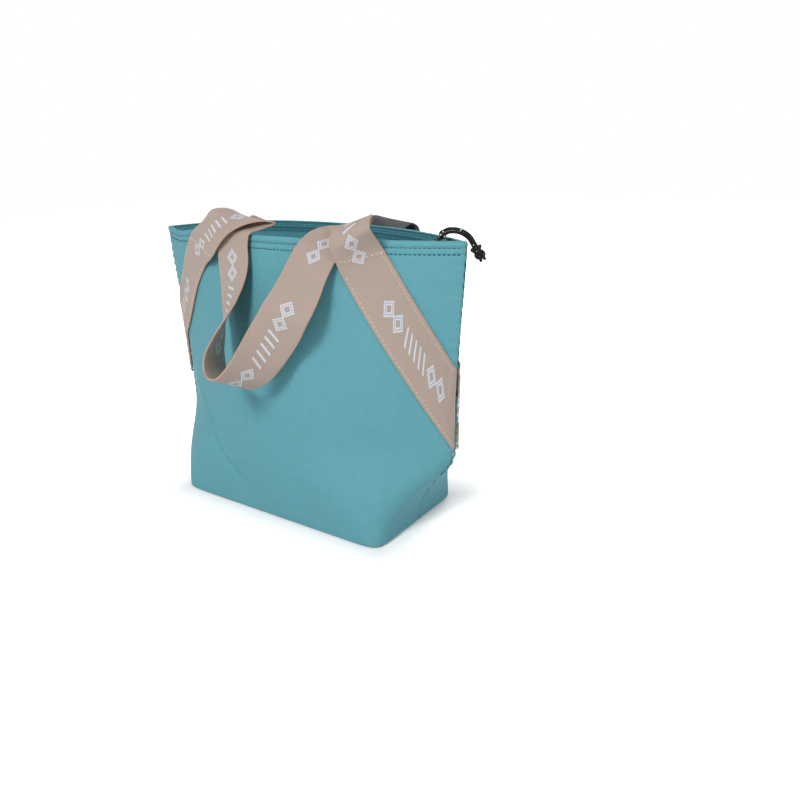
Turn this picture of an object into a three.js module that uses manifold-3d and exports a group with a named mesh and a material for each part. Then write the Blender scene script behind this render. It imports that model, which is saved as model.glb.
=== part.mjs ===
// Insulated food carrier bag: an open-topped tote of coated cloth over foam, with a zip along the
// mouth and two webbing handles. The origin is the centre of the base, the front panel faces -Y.
import * as THREE from 'three';
import Module from 'manifold-3d';
import { mergeVertices } from 'three/addons/utils/BufferGeometryUtils.js';

const wasm = await Module();
wasm.setup();

// Body of the bag, in millimetres
const HEIGHT = 258;
const BASE_DEPTH = 128;
const BASE_CLOTH_WIDTH = 360;
const RIM_CLOTH_WIDTH = 368;
const MOUTH_GAP = 96;
const WALL_BULGE = 9;
const BOXED_HEIGHT = 95;
const LEFT_CORNER_DROOP = 6;
const RIGHT_CORNER_DROOP = 1.5;

// Layers of the wall and of the base
const CLOTH = 1.5;
const FOAM = 4;
const LINING = 0.8;
const BOARD = 2;
const CORNER_ROOM = 1;
const FACING = 1;
const CLEAR = 0.3;
const FACING_DROP = 30;
const FACING_THIN_DROP = 10;
const FOAM_DROP = 16;

// Webbing of the handles
const STRAP_WIDTH = 40;
const STRAP_THICK = 1.6;
const SEWN_GAP = 0.6;
const JOIN_GAP = 0.9;
const STITCH_DROP = 13;
const STRAPS = {
  right: { side: 1, offset: 100, lean: 32 },
  left: { side: -1, offset: 85, lean: 40 },
};
const STRAP_SEAM_MARGIN = 1.5;

// Zip
const TAPE_TOP = 4;
const TAPE_SEWN = 5;
const TAPE_HANG = 5;
const TAPE_REACH = 5.6;
const TAPE_THICK = 0.6;
const CHAIN_SIZE = 2.2;
const SLIDER_WIDTH = 10;
const SLIDER_LENGTH = 12;
const SLIDER_PLATE = 1.6;
const LUG_THICK = 1.3;
const LUG_RADIUS = 2.6;
const PIN_RADIUS = 0.8;
const EYE_RADIUS = 2.3;
const EYE_WIDTH = 3.4;
const PULLER_LENGTH = 20;
const PULLER_WIDTH = 7.5;
const PULLER_THICK = 1.6;
const PULLER_SLOT = 4;
const PULLER_LEAN = 48;
const CORD_WIDTH = 5;
const CORD_THICK = 2.6;
const KNOT_RADIUS = 5;
const KNOT_HEIGHT = 12;
const KNOT_TILT = 35;
const STOP_LENGTH = 4;
const STOP_GAP = 1.2;

const FINISHES = {
  shell: { color: 0x66a3ad, roughness: 0.62, metalness: 0 },
  foam: { color: 0xe9e7e0, roughness: 0.9, metalness: 0 },
  lining: { color: 0xc3c7c8, roughness: 0.4, metalness: 0 },
  board: { color: 0xb9b7b0, roughness: 0.8, metalness: 0 },
  webbing: { color: 0xb7a192, roughness: 0.8, metalness: 0 },
  zip: { color: 0x3f8591, roughness: 0.6, metalness: 0 },
  metal: { color: 0x33363a, roughness: 0.35, metalness: 0.9 },
  cord: { color: 0x1b1b1d, roughness: 0.85, metalness: 0 },
};

const bag = new THREE.Group();

function add(name, geometry, finish) {
  const mesh = new THREE.Mesh(geometry, new THREE.MeshStandardMaterial(FINISHES[finish]));
  mesh.name = name;
  bag.add(mesh);
}

const mix = (a, b, t) => a + (b - a) * t;
const clamp = (t, low, high) => Math.min(Math.max(t, low), high);

// Wall of the bag

// Levels at which the wall's section is worked out, as shares of the height
const LEVELS = [0, 0.05, 0.12, 0.19, 0.26, 0.32, 0.37, 0.46, 0.58, 0.7, 0.83, 0.92, 0.96, 1];
// Columns of the wall, as shares of half the cloth's width, closest at the base's corners
const COLUMNS = [0.25, 0.45, 0.57, 0.63, 0.665, 0.7, 0.77, 0.86, 1];
const SECTION_STEPS = 160;

function clothWidth(level) {
  return mix(BASE_CLOTH_WIDTH, RIM_CLOTH_WIDTH, level);
}

// Half a section of the wall, from the left seam to the right one: boxed at the base, a lens at the rim
function makeSection(level) {
  const boxed = (1 - clamp((level * HEIGHT) / BOXED_HEIGHT, 0, 1)) ** 1.5;
  const across = 2.1 + 16 * boxed * boxed;
  const along = 1 + 10 * boxed * boxed;
  const depth = mix(BASE_DEPTH, MOUTH_GAP, level ** 1.5) / 2 + WALL_BULGE * Math.sin(Math.PI * level);
  const half = clothWidth(level);
  const curve = (reach) => {
    const xs = [];
    const ys = [];
    const lengths = [0];
    for (let i = 0; i <= SECTION_STEPS; i++) {
      const share = Math.sin(mix(-0.5, 0.5, i / SECTION_STEPS) * Math.PI);
      xs.push(reach * share);
      ys.push(-depth * Math.max(1 - Math.abs(share) ** across, 0) ** (1 / along));
      if (i > 0) lengths.push(lengths[i - 1] + Math.hypot(xs[i] - xs[i - 1], ys[i] - ys[i - 1]));
    }
    return { reach, xs, ys, lengths };
  };
  let low = half * 0.2;
  let high = half * 0.5;
  for (let i = 0; i < 40; i++) {
    const reach = (low + high) / 2;
    if (curve(reach).lengths[SECTION_STEPS] > half) high = reach;
    else low = reach;
  }
  return curve(low);
}

const SECTIONS = LEVELS.map(makeSection);

// A point on one level's section, off the cloth's outer face by a depth into the bag
function sectionPoint(index, s, depth) {
  const { reach, xs, ys, lengths } = SECTIONS[index];
  const width = clothWidth(LEVELS[index]);
  const length = clamp(s / width + 0.5, 0, 1) * lengths[SECTION_STEPS];
  let i = 1;
  while (i < SECTION_STEPS && lengths[i] < length) i++;
  const t = (length - lengths[i - 1]) / (lengths[i] - lengths[i - 1]);
  const before = Math.max(i - 2, 0);
  const after = Math.min(i + 1, SECTION_STEPS);
  const run = Math.hypot(xs[after] - xs[before], ys[after] - ys[before]);
  const outX = (ys[after] - ys[before]) / run;
  const outY = -(xs[after] - xs[before]) / run;
  const x = mix(xs[i - 1], xs[i], t);
  const y = mix(ys[i - 1], ys[i], t);
  const droop = x < 0 ? LEFT_CORNER_DROOP : RIGHT_CORNER_DROOP;
  const fall = droop * Math.abs(x / reach) ** 3 * LEVELS[index] ** 3;
  return new THREE.Vector3(x - outX * depth, y - outY * depth, LEVELS[index] * HEIGHT - fall);
}

// A point of the front half of the wall at any height: s runs along the cloth from its middle
function wallPoint(height, s, depth) {
  const level = clamp(height / HEIGHT, 0, 1);
  let upper = 1;
  while (LEVELS[upper] < level) upper++;
  const t = (level - LEVELS[upper - 1]) / (LEVELS[upper] - LEVELS[upper - 1]);
  return sectionPoint(upper - 1, s, depth).lerp(sectionPoint(upper, s, depth), t);
}

// The cloth's half width at which a layer at this depth reaches the seam plane
function seamReach(height, depth, edge, gap = CLEAR / 2) {
  const width = clothWidth(height / HEIGHT) / 2;
  let low = width * 0.5;
  let high = width;
  for (let i = 0; i < 30; i++) {
    const s = (low + high) / 2;
    if (wallPoint(height, edge * s, depth).y > -gap) high = s;
    else low = s;
  }
  return low;
}

// One row of a layer, from seam to seam, or short of where a layer at the reach's depth meets the seam plane
function layerRow(height, depth, inset = 0, reachDepth = depth) {
  const width = clothWidth(height / HEIGHT) / 2;
  const row = [];
  for (const edge of [-1, 1]) {
    const reach = seamReach(height, reachDepth, edge) - inset;
    const half = COLUMNS.map((share) => wallPoint(height, edge * Math.min(share * width, reach), depth));
    if (edge < 0) row.push(...half.reverse(), wallPoint(height, 0, depth));
    else row.push(...half);
  }
  return row;
}

// Closed solid between two grids of points with the same rows and columns
function slab(outer, inner) {
  const rows = outer.length;
  const columns = outer[0].length;
  const positions = [];
  for (const grid of [outer, inner]) {
    for (const row of grid) {
      for (const p of row) positions.push(p.x, p.y, p.z);
    }
  }
  const index = (layer, r, c) => (layer * rows + r) * columns + c;
  const triangles = [];
  const quad = (a, b, c, d) => triangles.push(a, b, c, a, c, d);
  for (let r = 0; r < rows - 1; r++) {
    for (let c = 0; c < columns - 1; c++) {
      quad(index(0, r, c), index(0, r, c + 1), index(0, r + 1, c + 1), index(0, r + 1, c));
      quad(index(1, r, c), index(1, r + 1, c), index(1, r + 1, c + 1), index(1, r, c + 1));
    }
    quad(index(0, r, 0), index(0, r + 1, 0), index(1, r + 1, 0), index(1, r, 0));
    const last = columns - 1;
    quad(index(0, r, last), index(1, r, last), index(1, r + 1, last), index(0, r + 1, last));
  }
  for (let c = 0; c < columns - 1; c++) {
    quad(index(0, 0, c), index(1, 0, c), index(1, 0, c + 1), index(0, 0, c + 1));
    const top = rows - 1;
    quad(index(0, top, c), index(0, top, c + 1), index(1, top, c + 1), index(1, top, c));
  }
  return facingOut(positions, triangles);
}

// Geometry whose faces point out, whichever way the triangles were listed
function facingOut(positions, triangles) {
  const corner = (i) => new THREE.Vector3().fromArray(positions, 3 * i);
  let volume = 0;
  for (let i = 0; i < triangles.length; i += 3) {
    const [a, b, c] = [corner(triangles[i]), corner(triangles[i + 1]), corner(triangles[i + 2])];
    volume += a.dot(b.cross(c));
  }
  if (volume < 0) triangles.reverse();
  const geometry = new THREE.BufferGeometry();
  geometry.setAttribute('position', new THREE.Float32BufferAttribute(positions, 3));
  geometry.setIndex(triangles);
  geometry.computeVertexNormals();
  return geometry;
}

const mirrored = (grid) => grid.map((row) => row.map((p) => new THREE.Vector3(p.x, -p.y, p.z)));

// Adds the front piece of a layer and its mirrored back piece
function addPair(name, outer, inner, finish) {
  add(name.replace('SIDE', 'front'), slab(outer, inner), finish);
  add(name.replace('SIDE', 'back'), slab(mirrored(outer), mirrored(inner)), finish);
}

function levelsBetween(low, high) {
  return [low, ...LEVELS.map((level) => level * HEIGHT).filter((z) => z > low + 2 && z < high - 2), high];
}

function wallLayer(name, low, high, depth, thick, finish) {
  const heights = levelsBetween(low, high);
  const outer = heights.map((height) => layerRow(height, depth));
  const inner = heights.map((height) => layerRow(height, depth + thick));
  addPair(name, outer, inner, finish);
}

// Base of the bag, from the floor up
const boardBottom = CLOTH + CLEAR;
const baseFoamBottom = boardBottom + BOARD + CLEAR;
const baseLiningBottom = baseFoamBottom + FOAM + CLEAR;
const foamDepth = CLOTH + CLEAR;
const liningDepth = foamDepth + FOAM + CLEAR;

wallLayer('outer_SIDE_panel', 0, HEIGHT, 0, CLOTH, 'shell');
wallLayer('foam_SIDE', boardBottom, HEIGHT - FOAM_DROP - 2, foamDepth, FOAM, 'foam');
wallLayer('lining_SIDE', baseLiningBottom, HEIGHT - FACING_DROP - CLEAR, liningDepth, LINING, 'lining');

// Flat sheet of the base's outline, drawn in by a depth
function baseSheet(depth, bottom, thick) {
  const front = layerRow(0, depth).slice(1, -1);
  const shape = new THREE.Shape();
  front.forEach((p, i) => (i === 0 ? shape.moveTo(p.x, p.y) : shape.lineTo(p.x, p.y)));
  front.reverse().forEach((p) => shape.lineTo(p.x, -p.y));
  const geometry = new THREE.ExtrudeGeometry(shape, { depth: thick, bevelEnabled: false });
  return geometry.translate(0, 0, bottom);
}

add('outer_base_panel', baseSheet(CLOTH + CLEAR, 0, CLOTH), 'shell');
add('base_board', baseSheet(liningDepth, boardBottom, BOARD), 'board');
add('foam_base', baseSheet(liningDepth + CORNER_ROOM, baseFoamBottom, FOAM), 'foam');
add('lining_base', baseSheet(liningDepth + LINING + CORNER_ROOM, baseLiningBottom, LINING), 'lining');

// Rim facing: a band of the outer cloth that lines the mouth and covers the foam's top edge
const facingRows = [
  [HEIGHT, foamDepth],
  [HEIGHT - FACING_THIN_DROP, foamDepth],
  [HEIGHT - FOAM_DROP, liningDepth],
  [HEIGHT - FACING_DROP, liningDepth],
];
addPair(
  'rim_facing_SIDE',
  facingRows.map(([height, depth]) => layerRow(height, depth)),
  facingRows.map(([height, depth]) => layerRow(height, depth + FACING)),
  'shell',
);

// Zip tapes and chains, sewn inside the mouth and leaning into it
const tapeDepth = foamDepth + FACING + CLEAR;
const tapeRows = [
  [TAPE_TOP, tapeDepth],
  [TAPE_TOP + TAPE_SEWN, tapeDepth],
  [TAPE_TOP + TAPE_SEWN + TAPE_HANG, tapeDepth + TAPE_REACH],
];
addPair(
  'zip_tape_SIDE',
  tapeRows.map(([drop, depth]) => layerRow(HEIGHT - drop, depth)),
  tapeRows.map(([drop, depth]) => layerRow(HEIGHT - drop, depth + TAPE_THICK)),
  'zip',
);
const chainDrop = TAPE_TOP + TAPE_SEWN + TAPE_HANG + CLEAR;
const chainDepth = tapeDepth + TAPE_REACH + CLEAR;
const chainInset = STOP_LENGTH / 2 + STOP_GAP;
const chainRows = [chainDrop, chainDrop + CHAIN_SIZE];
addPair(
  'zip_chain_SIDE',
  chainRows.map((drop) => layerRow(HEIGHT - drop, chainDepth, chainInset, chainDepth + CHAIN_SIZE)),
  chainRows.map((drop) => layerRow(HEIGHT - drop, chainDepth + CHAIN_SIZE, chainInset)),
  'zip',
);

// Ends of the chain: a stop on each, under the tapes
function chainEnd(edge) {
  const height = HEIGHT - chainDrop;
  return wallPoint(height, edge * seamReach(height, chainDepth + CHAIN_SIZE, edge), chainDepth + CHAIN_SIZE);
}

for (const [name, edge] of [['left', -1], ['right', 1]]) {
  const end = chainEnd(edge);
  const stop = new THREE.BoxGeometry(STOP_LENGTH, 2 * CHAIN_SIZE, CHAIN_SIZE);
  stop.translate(end.x, 0, end.z - CHAIN_SIZE / 2 - CLEAR);
  add(`zip_stop_${name}`, stop, 'metal');
}

// Handles

// A strip of webbing through stations: each is a centre, the turn and tilt of its width, and how cupped it is
function strip(stations, sections) {
  const centres = new THREE.CatmullRomCurve3(stations.map((st) => new THREE.Vector3(...st.at)), false, 'centripetal');
  const facings = new THREE.CatmullRomCurve3(
    stations.map((st) => new THREE.Vector3(st.turn, st.tilt, 100 * (st.cup ?? 1))),
    false,
    'catmullrom',
    0.5,
  );
  const outer = [];
  const inner = [];
  for (let i = 0; i <= sections; i++) {
    const t = i / sections;
    const facing = facings.getPoint(t);
    const turn = THREE.MathUtils.degToRad(facing.x);
    const tilt = THREE.MathUtils.degToRad(facing.y);
    const across = new THREE.Vector3(
      Math.cos(tilt) * Math.cos(turn), Math.cos(tilt) * Math.sin(turn), Math.sin(tilt),
    );
    const along = centres.getTangent(t);
    const normal = new THREE.Vector3().crossVectors(across, along).normalize();
    const centre = centres.getPoint(t);
    const place = (share, off) => centre.clone()
      .addScaledVector(across, share * (STRAP_WIDTH / 2) * (facing.z / 100))
      .addScaledVector(normal, off * STRAP_THICK / 2);
    outer.push([-1, 0, 1].map((share) => place(share, 1)));
    inner.push([-1, 0, 1].map((share) => place(share, -1)));
  }
  return slab(outer, inner);
}

// Direction of a sewn strap on the flat cloth, away from the rim: [along the cloth, up]
function strapRun({ side, lean }) {
  const angle = THREE.MathUtils.degToRad(lean);
  return [side * Math.sin(angle), -Math.cos(angle)];
}

const stitchHeight = HEIGHT - STITCH_DROP;

// A point of the sewn strap: share across its width, distance down from the stitching
function sewnPoint(strap, share, run, off) {
  const [ds, dz] = strapRun(strap);
  const across = share * STRAP_WIDTH / 2;
  const s = strap.side * strap.offset + strap.side * -dz * across + ds * run;
  const height = stitchHeight + strap.side * ds * across + dz * run;
  return wallPoint(height, s, -off);
}

// Length of one thread of the sewn strap, from the stitching down to the side seam
function sewnLength(strap, share) {
  const [ds, dz] = strapRun(strap);
  const across = share * STRAP_WIDTH / 2;
  const start = strap.offset - dz * across;
  let run = 0;
  for (let i = 0; i < 6; i++) {
    const height = stitchHeight + strap.side * ds * across + dz * run;
    run = (clothWidth(height / HEIGHT) / 2 - STRAP_SEAM_MARGIN - start) / Math.abs(ds);
  }
  return run;
}

const SEWN_SECTIONS = 18;

function sewnStrap(strap, flip) {
  const grid = (off) => {
    const rows = [];
    for (let i = 0; i <= SEWN_SECTIONS; i++) {
      const t = i / SEWN_SECTIONS;
      rows.push([-1, -0.5, 0, 0.5, 1].map((share) => {
        const p = sewnPoint(strap, share, t * sewnLength(strap, share), off);
        return new THREE.Vector3(p.x, flip * p.y, p.z);
      }));
    }
    return rows;
  };
  return slab(grid(SEWN_GAP + STRAP_THICK), grid(SEWN_GAP));
}

// The station where the sewn strap ends, just clear of it, with its width as it lies on the cloth
function sewnStation(strap) {
  const off = SEWN_GAP + STRAP_THICK / 2;
  const low = sewnPoint(strap, -1, -JOIN_GAP, off);
  const high = sewnPoint(strap, 1, -JOIN_GAP, off);
  const across = low.clone().sub(high);
  const centre = low.clone().add(high).multiplyScalar(0.5);
  centre.y = Math.min(centre.y, sewnPoint(strap, 0, -JOIN_GAP, off).y);
  const width = across.length();
  const turn = THREE.MathUtils.radToDeg(Math.atan2(across.y, across.x));
  const tilt = THREE.MathUtils.radToDeg(Math.asin(across.z / width));
  return { at: centre.toArray(), turn, tilt, cup: width / STRAP_WIDTH };
}

// Places on the handles are given from the middle of the front rim
const rimY = -MOUTH_GAP / 2;
const station = (x, y, z, turn, tilt, cup) => ({ at: [x, rimY + y, HEIGHT + z], turn, tilt, cup });

// The grip hangs down the panel from over the rim and turns back up near the bottom
const GRIP = [
  station(-22, 8, 6, 2, 0),
  station(-27, -1, 2.5, -4, 2),
  station(-27, -5, -8, -5, 5),
  station(-24, -9, -22, -5, 8),
  station(-21, -15, -38, -12, 12),
  station(-19, -24, -56, -26, 18),
  station(-18, -33, -72, -42, 26),
  station(-17, -43, -87, -56, 32),
  station(-12, -52, -101, -74, 32),
  station(-1, -56, -111, -88, 26),
  station(12, -57, -112, -92, 28),
  station(24, -53, -104, -102, 37),
  station(32, -46, -92, -119, 41),
  station(38, -37, -78, -138, 38),
  station(46, -33, -65, -153, 33),
  station(53, -32, -54, -163, 28),
  station(57, -26, -44, -170, 25),
  station(59, -18, -33, -174, 22),
  station(60, -9, -21, -175, 19, 0.97),
  station(64, -1.5, -9, -170, 18, 0.93),
  station(73, 2, 0, -164, 17, 0.92),
];
// The free arcs between the stitching and the grip
const ARC_LEFT = [
  station(-75, 1, -9, -30, -43),
  station(-64, 0, -2, -34, -45),
  station(-52, -1, 6, -37, -43),
  station(-42, 2, 11, -40, -29),
  station(-32, 8, 14, -33, -14),
  station(-22.5, 14, 13.5, -16, -4),
  station(-17, 17.5, 9.5, 4, 0),
];
const ARC_RIGHT = [
  station(82, 5, 8, -166, 13, 0.94),
  station(92, 7, 14, -170, 6, 0.97),
  station(97.5, 4, 16.5, -172, -4),
  station(99.5, -2, 12, -172, -10),
  station(101, -3, 2, -172, -20),
];
const GRIP_SECTIONS = 44;
const ARC_SECTIONS = 20;
// The back handle folds over below the rim at its left end, so its left arc is short
const BACK_ARC_LEFT = [
  station(-81, 4.5, -8.5, -20, -38),
  station(-77.5, -0.5, -5.5, -30, -30),
  station(-74.5, -6.5, -5, -37, -17),
  station(-71.5, -12, -8, -38, -1),
  station(-68.5, -15, -14, -32, 15),
];
const BACK_GRIP_LEFT = [
  station(-66, -16, -21, -24, 26),
  station(-62.5, -15.5, -32, -19, 31),
  station(-57.5, -16.5, -45, -19, 32),
  station(-51, -19.5, -61, -24, 31),
  station(-44, -25, -78, -33, 31),
  station(-36.5, -33, -95, -45, 32),
  station(-28, -42, -111, -58, 32),
  station(-18, -50, -124, -71, 30),
  station(-9, -54.5, -132.5, -81, 28),
];
// Its right end lies lower over the rim than the front one's, and nearer the middle
const BACK_STEP = { at: [-24, -7, -11], tilt: 10 };
const MOVED_STATIONS = 8;
// The slack hangs at the bottom of its loop, and fades out up the right branch
const BACK_DROP = 28;
const FADING_STATIONS = 9;

// The gap between an arc and the grip's end, taken along the strap
function stepBack(from, towards, gap) {
  const a = new THREE.Vector3(...from.at);
  const step = new THREE.Vector3(...towards.at).sub(a).setLength(gap);
  return { ...from, at: a.add(step).toArray() };
}

const flipStation = (st) => ({ ...st, at: [st.at[0], -st.at[1], st.at[2]], turn: -st.turn });

// A station of the front handle as the back handle has it
const backStation = (st, share, drop) => ({
  ...st,
  at: st.at.map((value, i) => value + share * BACK_STEP.at[i] - (i === 2 ? drop : 0)),
  tilt: st.tilt + share * BACK_STEP.tilt,
});

function backGrip() {
  const right = GRIP.slice(BACK_GRIP_LEFT.length).map((st, i, stations) => {
    const left = stations.length - 1 - i;
    const share = clamp(1 - left / (MOVED_STATIONS - 1), 0, 1);
    return backStation(st, share, BACK_DROP * clamp(left / FADING_STATIONS, 0, 1));
  });
  return [...BACK_GRIP_LEFT, ...right];
}

const HANDLES = [
  { name: 'front', flip: 1, left: ARC_LEFT, grip: GRIP, right: ARC_RIGHT },
  {
    name: 'back',
    flip: -1,
    left: BACK_ARC_LEFT,
    grip: backGrip(),
    right: ARC_RIGHT.map((st) => backStation(st, 1, 0)),
  },
];

for (const { name, flip, left, grip, right } of HANDLES) {
  const turned = (stations) => (flip > 0 ? stations : stations.map(flipStation));
  const leftArc = [sewnStation(STRAPS.left), ...left, stepBack(grip[0], left.at(-1), CLEAR)];
  const rightArc = [stepBack(grip.at(-1), right[0], CLEAR), ...right, sewnStation(STRAPS.right)];
  for (const place of ['left', 'right']) {
    add(`handle_${name}_sewn_${place}`, sewnStrap(STRAPS[place], flip), 'webbing');
  }
  add(`handle_${name}_arc_left`, strip(turned(leftArc), ARC_SECTIONS), 'webbing');
  add(`handle_${name}_arc_right`, strip(turned(rightArc), ARC_SECTIONS), 'webbing');
  add(`handle_${name}_grip`, strip(turned(grip), GRIP_SECTIONS), 'webbing');
}

// Zip slider, puller and pull cord

// Solid for cutting and joining, from a closed geometry
function solid(geometry) {
  const plain = geometry.clone();
  plain.deleteAttribute('normal');
  plain.deleteAttribute('uv');
  const merged = mergeVertices(plain, 1e-4);
  return new wasm.Manifold(new wasm.Mesh({
    numProp: 3,
    vertProperties: new Float32Array(merged.attributes.position.array),
    triVerts: new Uint32Array(merged.index.array),
  }));
}

function toGeometry(manifold) {
  const mesh = manifold.getMesh();
  return facingOut(Array.from(mesh.vertProperties), Array.from(mesh.triVerts));
}

const join = (geometries) => toGeometry(geometries.map(solid).reduce((a, b) => a.add(b)));

function block(sizeX, sizeY, sizeZ, x, y, z) {
  return new THREE.BoxGeometry(sizeX, sizeY, sizeZ).translate(x, y, z);
}

// Round bar along Y
function crossBar(radius, width, x, y, z, sides = 16) {
  return new THREE.CylinderGeometry(radius, radius, width, sides).translate(x, y, z);
}

// The slider is parked as far right as its width clears the tapes
function tapeEdge(x) {
  const height = HEIGHT - TAPE_TOP - TAPE_SEWN - TAPE_HANG;
  const depth = tapeDepth + TAPE_REACH + TAPE_THICK;
  let low = 0;
  let high = clothWidth(height / HEIGHT) / 2;
  for (let i = 0; i < 30; i++) {
    const s = (low + high) / 2;
    if (wallPoint(height, s, depth).x > x) high = s;
    else low = s;
  }
  return -wallPoint(height, low, depth).y;
}

function parkedX() {
  let low = 0;
  let high = chainEnd(1).x;
  for (let i = 0; i < 30; i++) {
    const x = (low + high) / 2;
    if (tapeEdge(x) > SLIDER_WIDTH / 2 + CLEAR) low = x;
    else high = x;
  }
  return low - SLIDER_LENGTH / 2;
}

const sliderX = parkedX();
const chainTop = HEIGHT - RIGHT_CORNER_DROOP - chainDrop + CLEAR;
const chainBottom = HEIGHT - RIGHT_CORNER_DROOP - chainDrop - CHAIN_SIZE;
const plateTop = chainTop + CLEAR + SLIDER_PLATE + 1;
const pinZ = plateTop + LUG_RADIUS;
const postHeight = plateTop - chainBottom + SLIDER_PLATE;

const lugs = [-1, 1].flatMap((edge) => {
  const y = edge * (EYE_WIDTH / 2 + CLEAR + LUG_THICK / 2);
  return [
    crossBar(LUG_RADIUS, LUG_THICK, sliderX, y, pinZ),
    block(2 * LUG_RADIUS, LUG_THICK, LUG_RADIUS + SLIDER_PLATE / 2, sliderX, y, pinZ - (LUG_RADIUS + SLIDER_PLATE / 2) / 2),
  ];
});
add('zip_slider', join([
  block(SLIDER_LENGTH, SLIDER_WIDTH, SLIDER_PLATE, sliderX, 0, plateTop - SLIDER_PLATE / 2),
  block(SLIDER_LENGTH, SLIDER_WIDTH, SLIDER_PLATE, sliderX, 0, chainBottom - CLEAR - SLIDER_PLATE / 2),
  block(3, 3, postHeight, sliderX - SLIDER_LENGTH / 2 + 1.5, 0, plateTop - postHeight / 2),
  ...lugs,
  crossBar(PIN_RADIUS, EYE_WIDTH + 2 * CLEAR + LUG_THICK, sliderX, 0, pinZ),
]), 'metal');

// Puller: an eye on the slider's pin, a neck and a slotted plate, leaning to the right at rest
function pullerGeometry() {
  const ring = new THREE.Shape().absarc(0, 0, EYE_RADIUS, 0, 2 * Math.PI);
  ring.holes.push(new THREE.Path().absarc(0, 0, PIN_RADIUS + CLEAR, 0, 2 * Math.PI, true));
  const eye = new THREE.ExtrudeGeometry(ring, { depth: EYE_WIDTH, bevelEnabled: false, curveSegments: 10 });
  eye.translate(0, 0, -EYE_WIDTH / 2).rotateX(Math.PI / 2);
  const plateStart = EYE_RADIUS + 2.5;
  const plate = new THREE.Shape();
  const half = PULLER_WIDTH / 2;
  const end = PULLER_LENGTH;
  plate.moveTo(plateStart, -half + 1.5);
  plate.lineTo(plateStart + 1.5, -half);
  plate.lineTo(end - 2, -half);
  plate.absarc(end - 2, -half + 2, 2, -Math.PI / 2, 0);
  plate.absarc(end - 2, half - 2, 2, 0, Math.PI / 2);
  plate.lineTo(plateStart + 1.5, half);
  plate.lineTo(plateStart, half - 1.5);
  const slot = new THREE.Path();
  slot.moveTo(plateStart + 3, -PULLER_SLOT / 2);
  slot.lineTo(end - 2.2, -PULLER_SLOT / 2);
  slot.lineTo(end - 2.2, PULLER_SLOT / 2);
  slot.lineTo(plateStart + 3, PULLER_SLOT / 2);
  plate.holes.push(slot);
  const blade = new THREE.ExtrudeGeometry(plate, { depth: PULLER_THICK, bevelEnabled: false, curveSegments: 4 });
  blade.translate(0, 0, -PULLER_THICK / 2);
  const neckStart = PIN_RADIUS + CLEAR + 0.5;
  const neck = block(plateStart + 1 - neckStart, EYE_WIDTH, PULLER_THICK, (plateStart + 1 + neckStart) / 2, 0, 0);
  return join([eye, neck, blade]);
}

const lean = THREE.MathUtils.degToRad(PULLER_LEAN);
const puller = pullerGeometry().rotateY(-lean).translate(sliderX, 0, pinZ);
add('zip_puller', puller, 'metal');

// The cord starts at the puller's tip, arches over the right corner of the rim and ends in a knot outside
const tipReach = PULLER_LENGTH + 2 * CLEAR;
const tip = new THREE.Vector3(sliderX + tipReach * Math.cos(lean), 0, pinZ + tipReach * Math.sin(lean));
const cornerX = wallPoint(HEIGHT, RIM_CLOTH_WIDTH / 2, 0).x;
const knotX = cornerX + KNOT_RADIUS + 3.6;
const knotZ = HEIGHT - 7.5;
const knotTilt = THREE.MathUtils.degToRad(KNOT_TILT);
const entryReach = KNOT_HEIGHT / 2 + CLEAR;
const entry = new THREE.Vector3(
  knotX - entryReach * Math.sin(knotTilt), 0, knotZ + entryReach * Math.cos(knotTilt),
);
const cordPlace = (share, rise) => new THREE.Vector3(mix(tip.x, entry.x, share), 0, tip.z + rise);
const cordPoints = [
  tip,
  cordPlace(0.14, 1.7),
  cordPlace(0.33, 2.3),
  cordPlace(0.52, 1.8),
  cordPlace(0.69, 0.3),
  cordPlace(0.85, -2.4),
  entry,
];

function cordGeometry(points) {
  const curve = new THREE.CatmullRomCurve3(points, false, 'centripetal');
  const section = new THREE.Shape();
  for (let i = 0; i < 8; i++) {
    const angle = (i + 0.5) * Math.PI / 4;
    const [u, v] = [CORD_THICK / 2 * Math.cos(angle), CORD_WIDTH / 2 * Math.sin(angle)];
    if (i === 0) section.moveTo(u, v);
    else section.lineTo(u, v);
  }
  return new THREE.ExtrudeGeometry(section, { steps: 12, extrudePath: curve });
}

add('pull_cord', cordGeometry(cordPoints), 'cord');

// Knot: a round lump, flat on top where the cord enters
function knotGeometry() {
  const profile = [new THREE.Vector2(0, -KNOT_HEIGHT / 2)];
  for (let i = 1; i < 8; i++) {
    const angle = mix(-Math.PI / 2, Math.PI / 2, i / 8);
    profile.push(new THREE.Vector2(KNOT_RADIUS * Math.cos(angle), KNOT_HEIGHT / 2 * Math.sin(angle)));
  }
  profile.push(new THREE.Vector2(KNOT_RADIUS * 0.45, KNOT_HEIGHT / 2));
  profile.push(new THREE.Vector2(0, KNOT_HEIGHT / 2));
  const lump = new THREE.LatheGeometry(profile, 12).rotateX(Math.PI / 2);
  return lump.rotateY(-knotTilt).translate(knotX, 0, knotZ);
}

add('pull_knot', knotGeometry(), 'cord');

export default bag;
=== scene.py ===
# Insulated food carrier bag: an open tote of teal coated cloth over foam, with a zip along its mouth
# and two webbing handles that hang over the rim. Lengths are in metres, and the front panel faces -Y.
import math

import bpy
import numpy as np
from mathutils import Matrix, Vector


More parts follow.
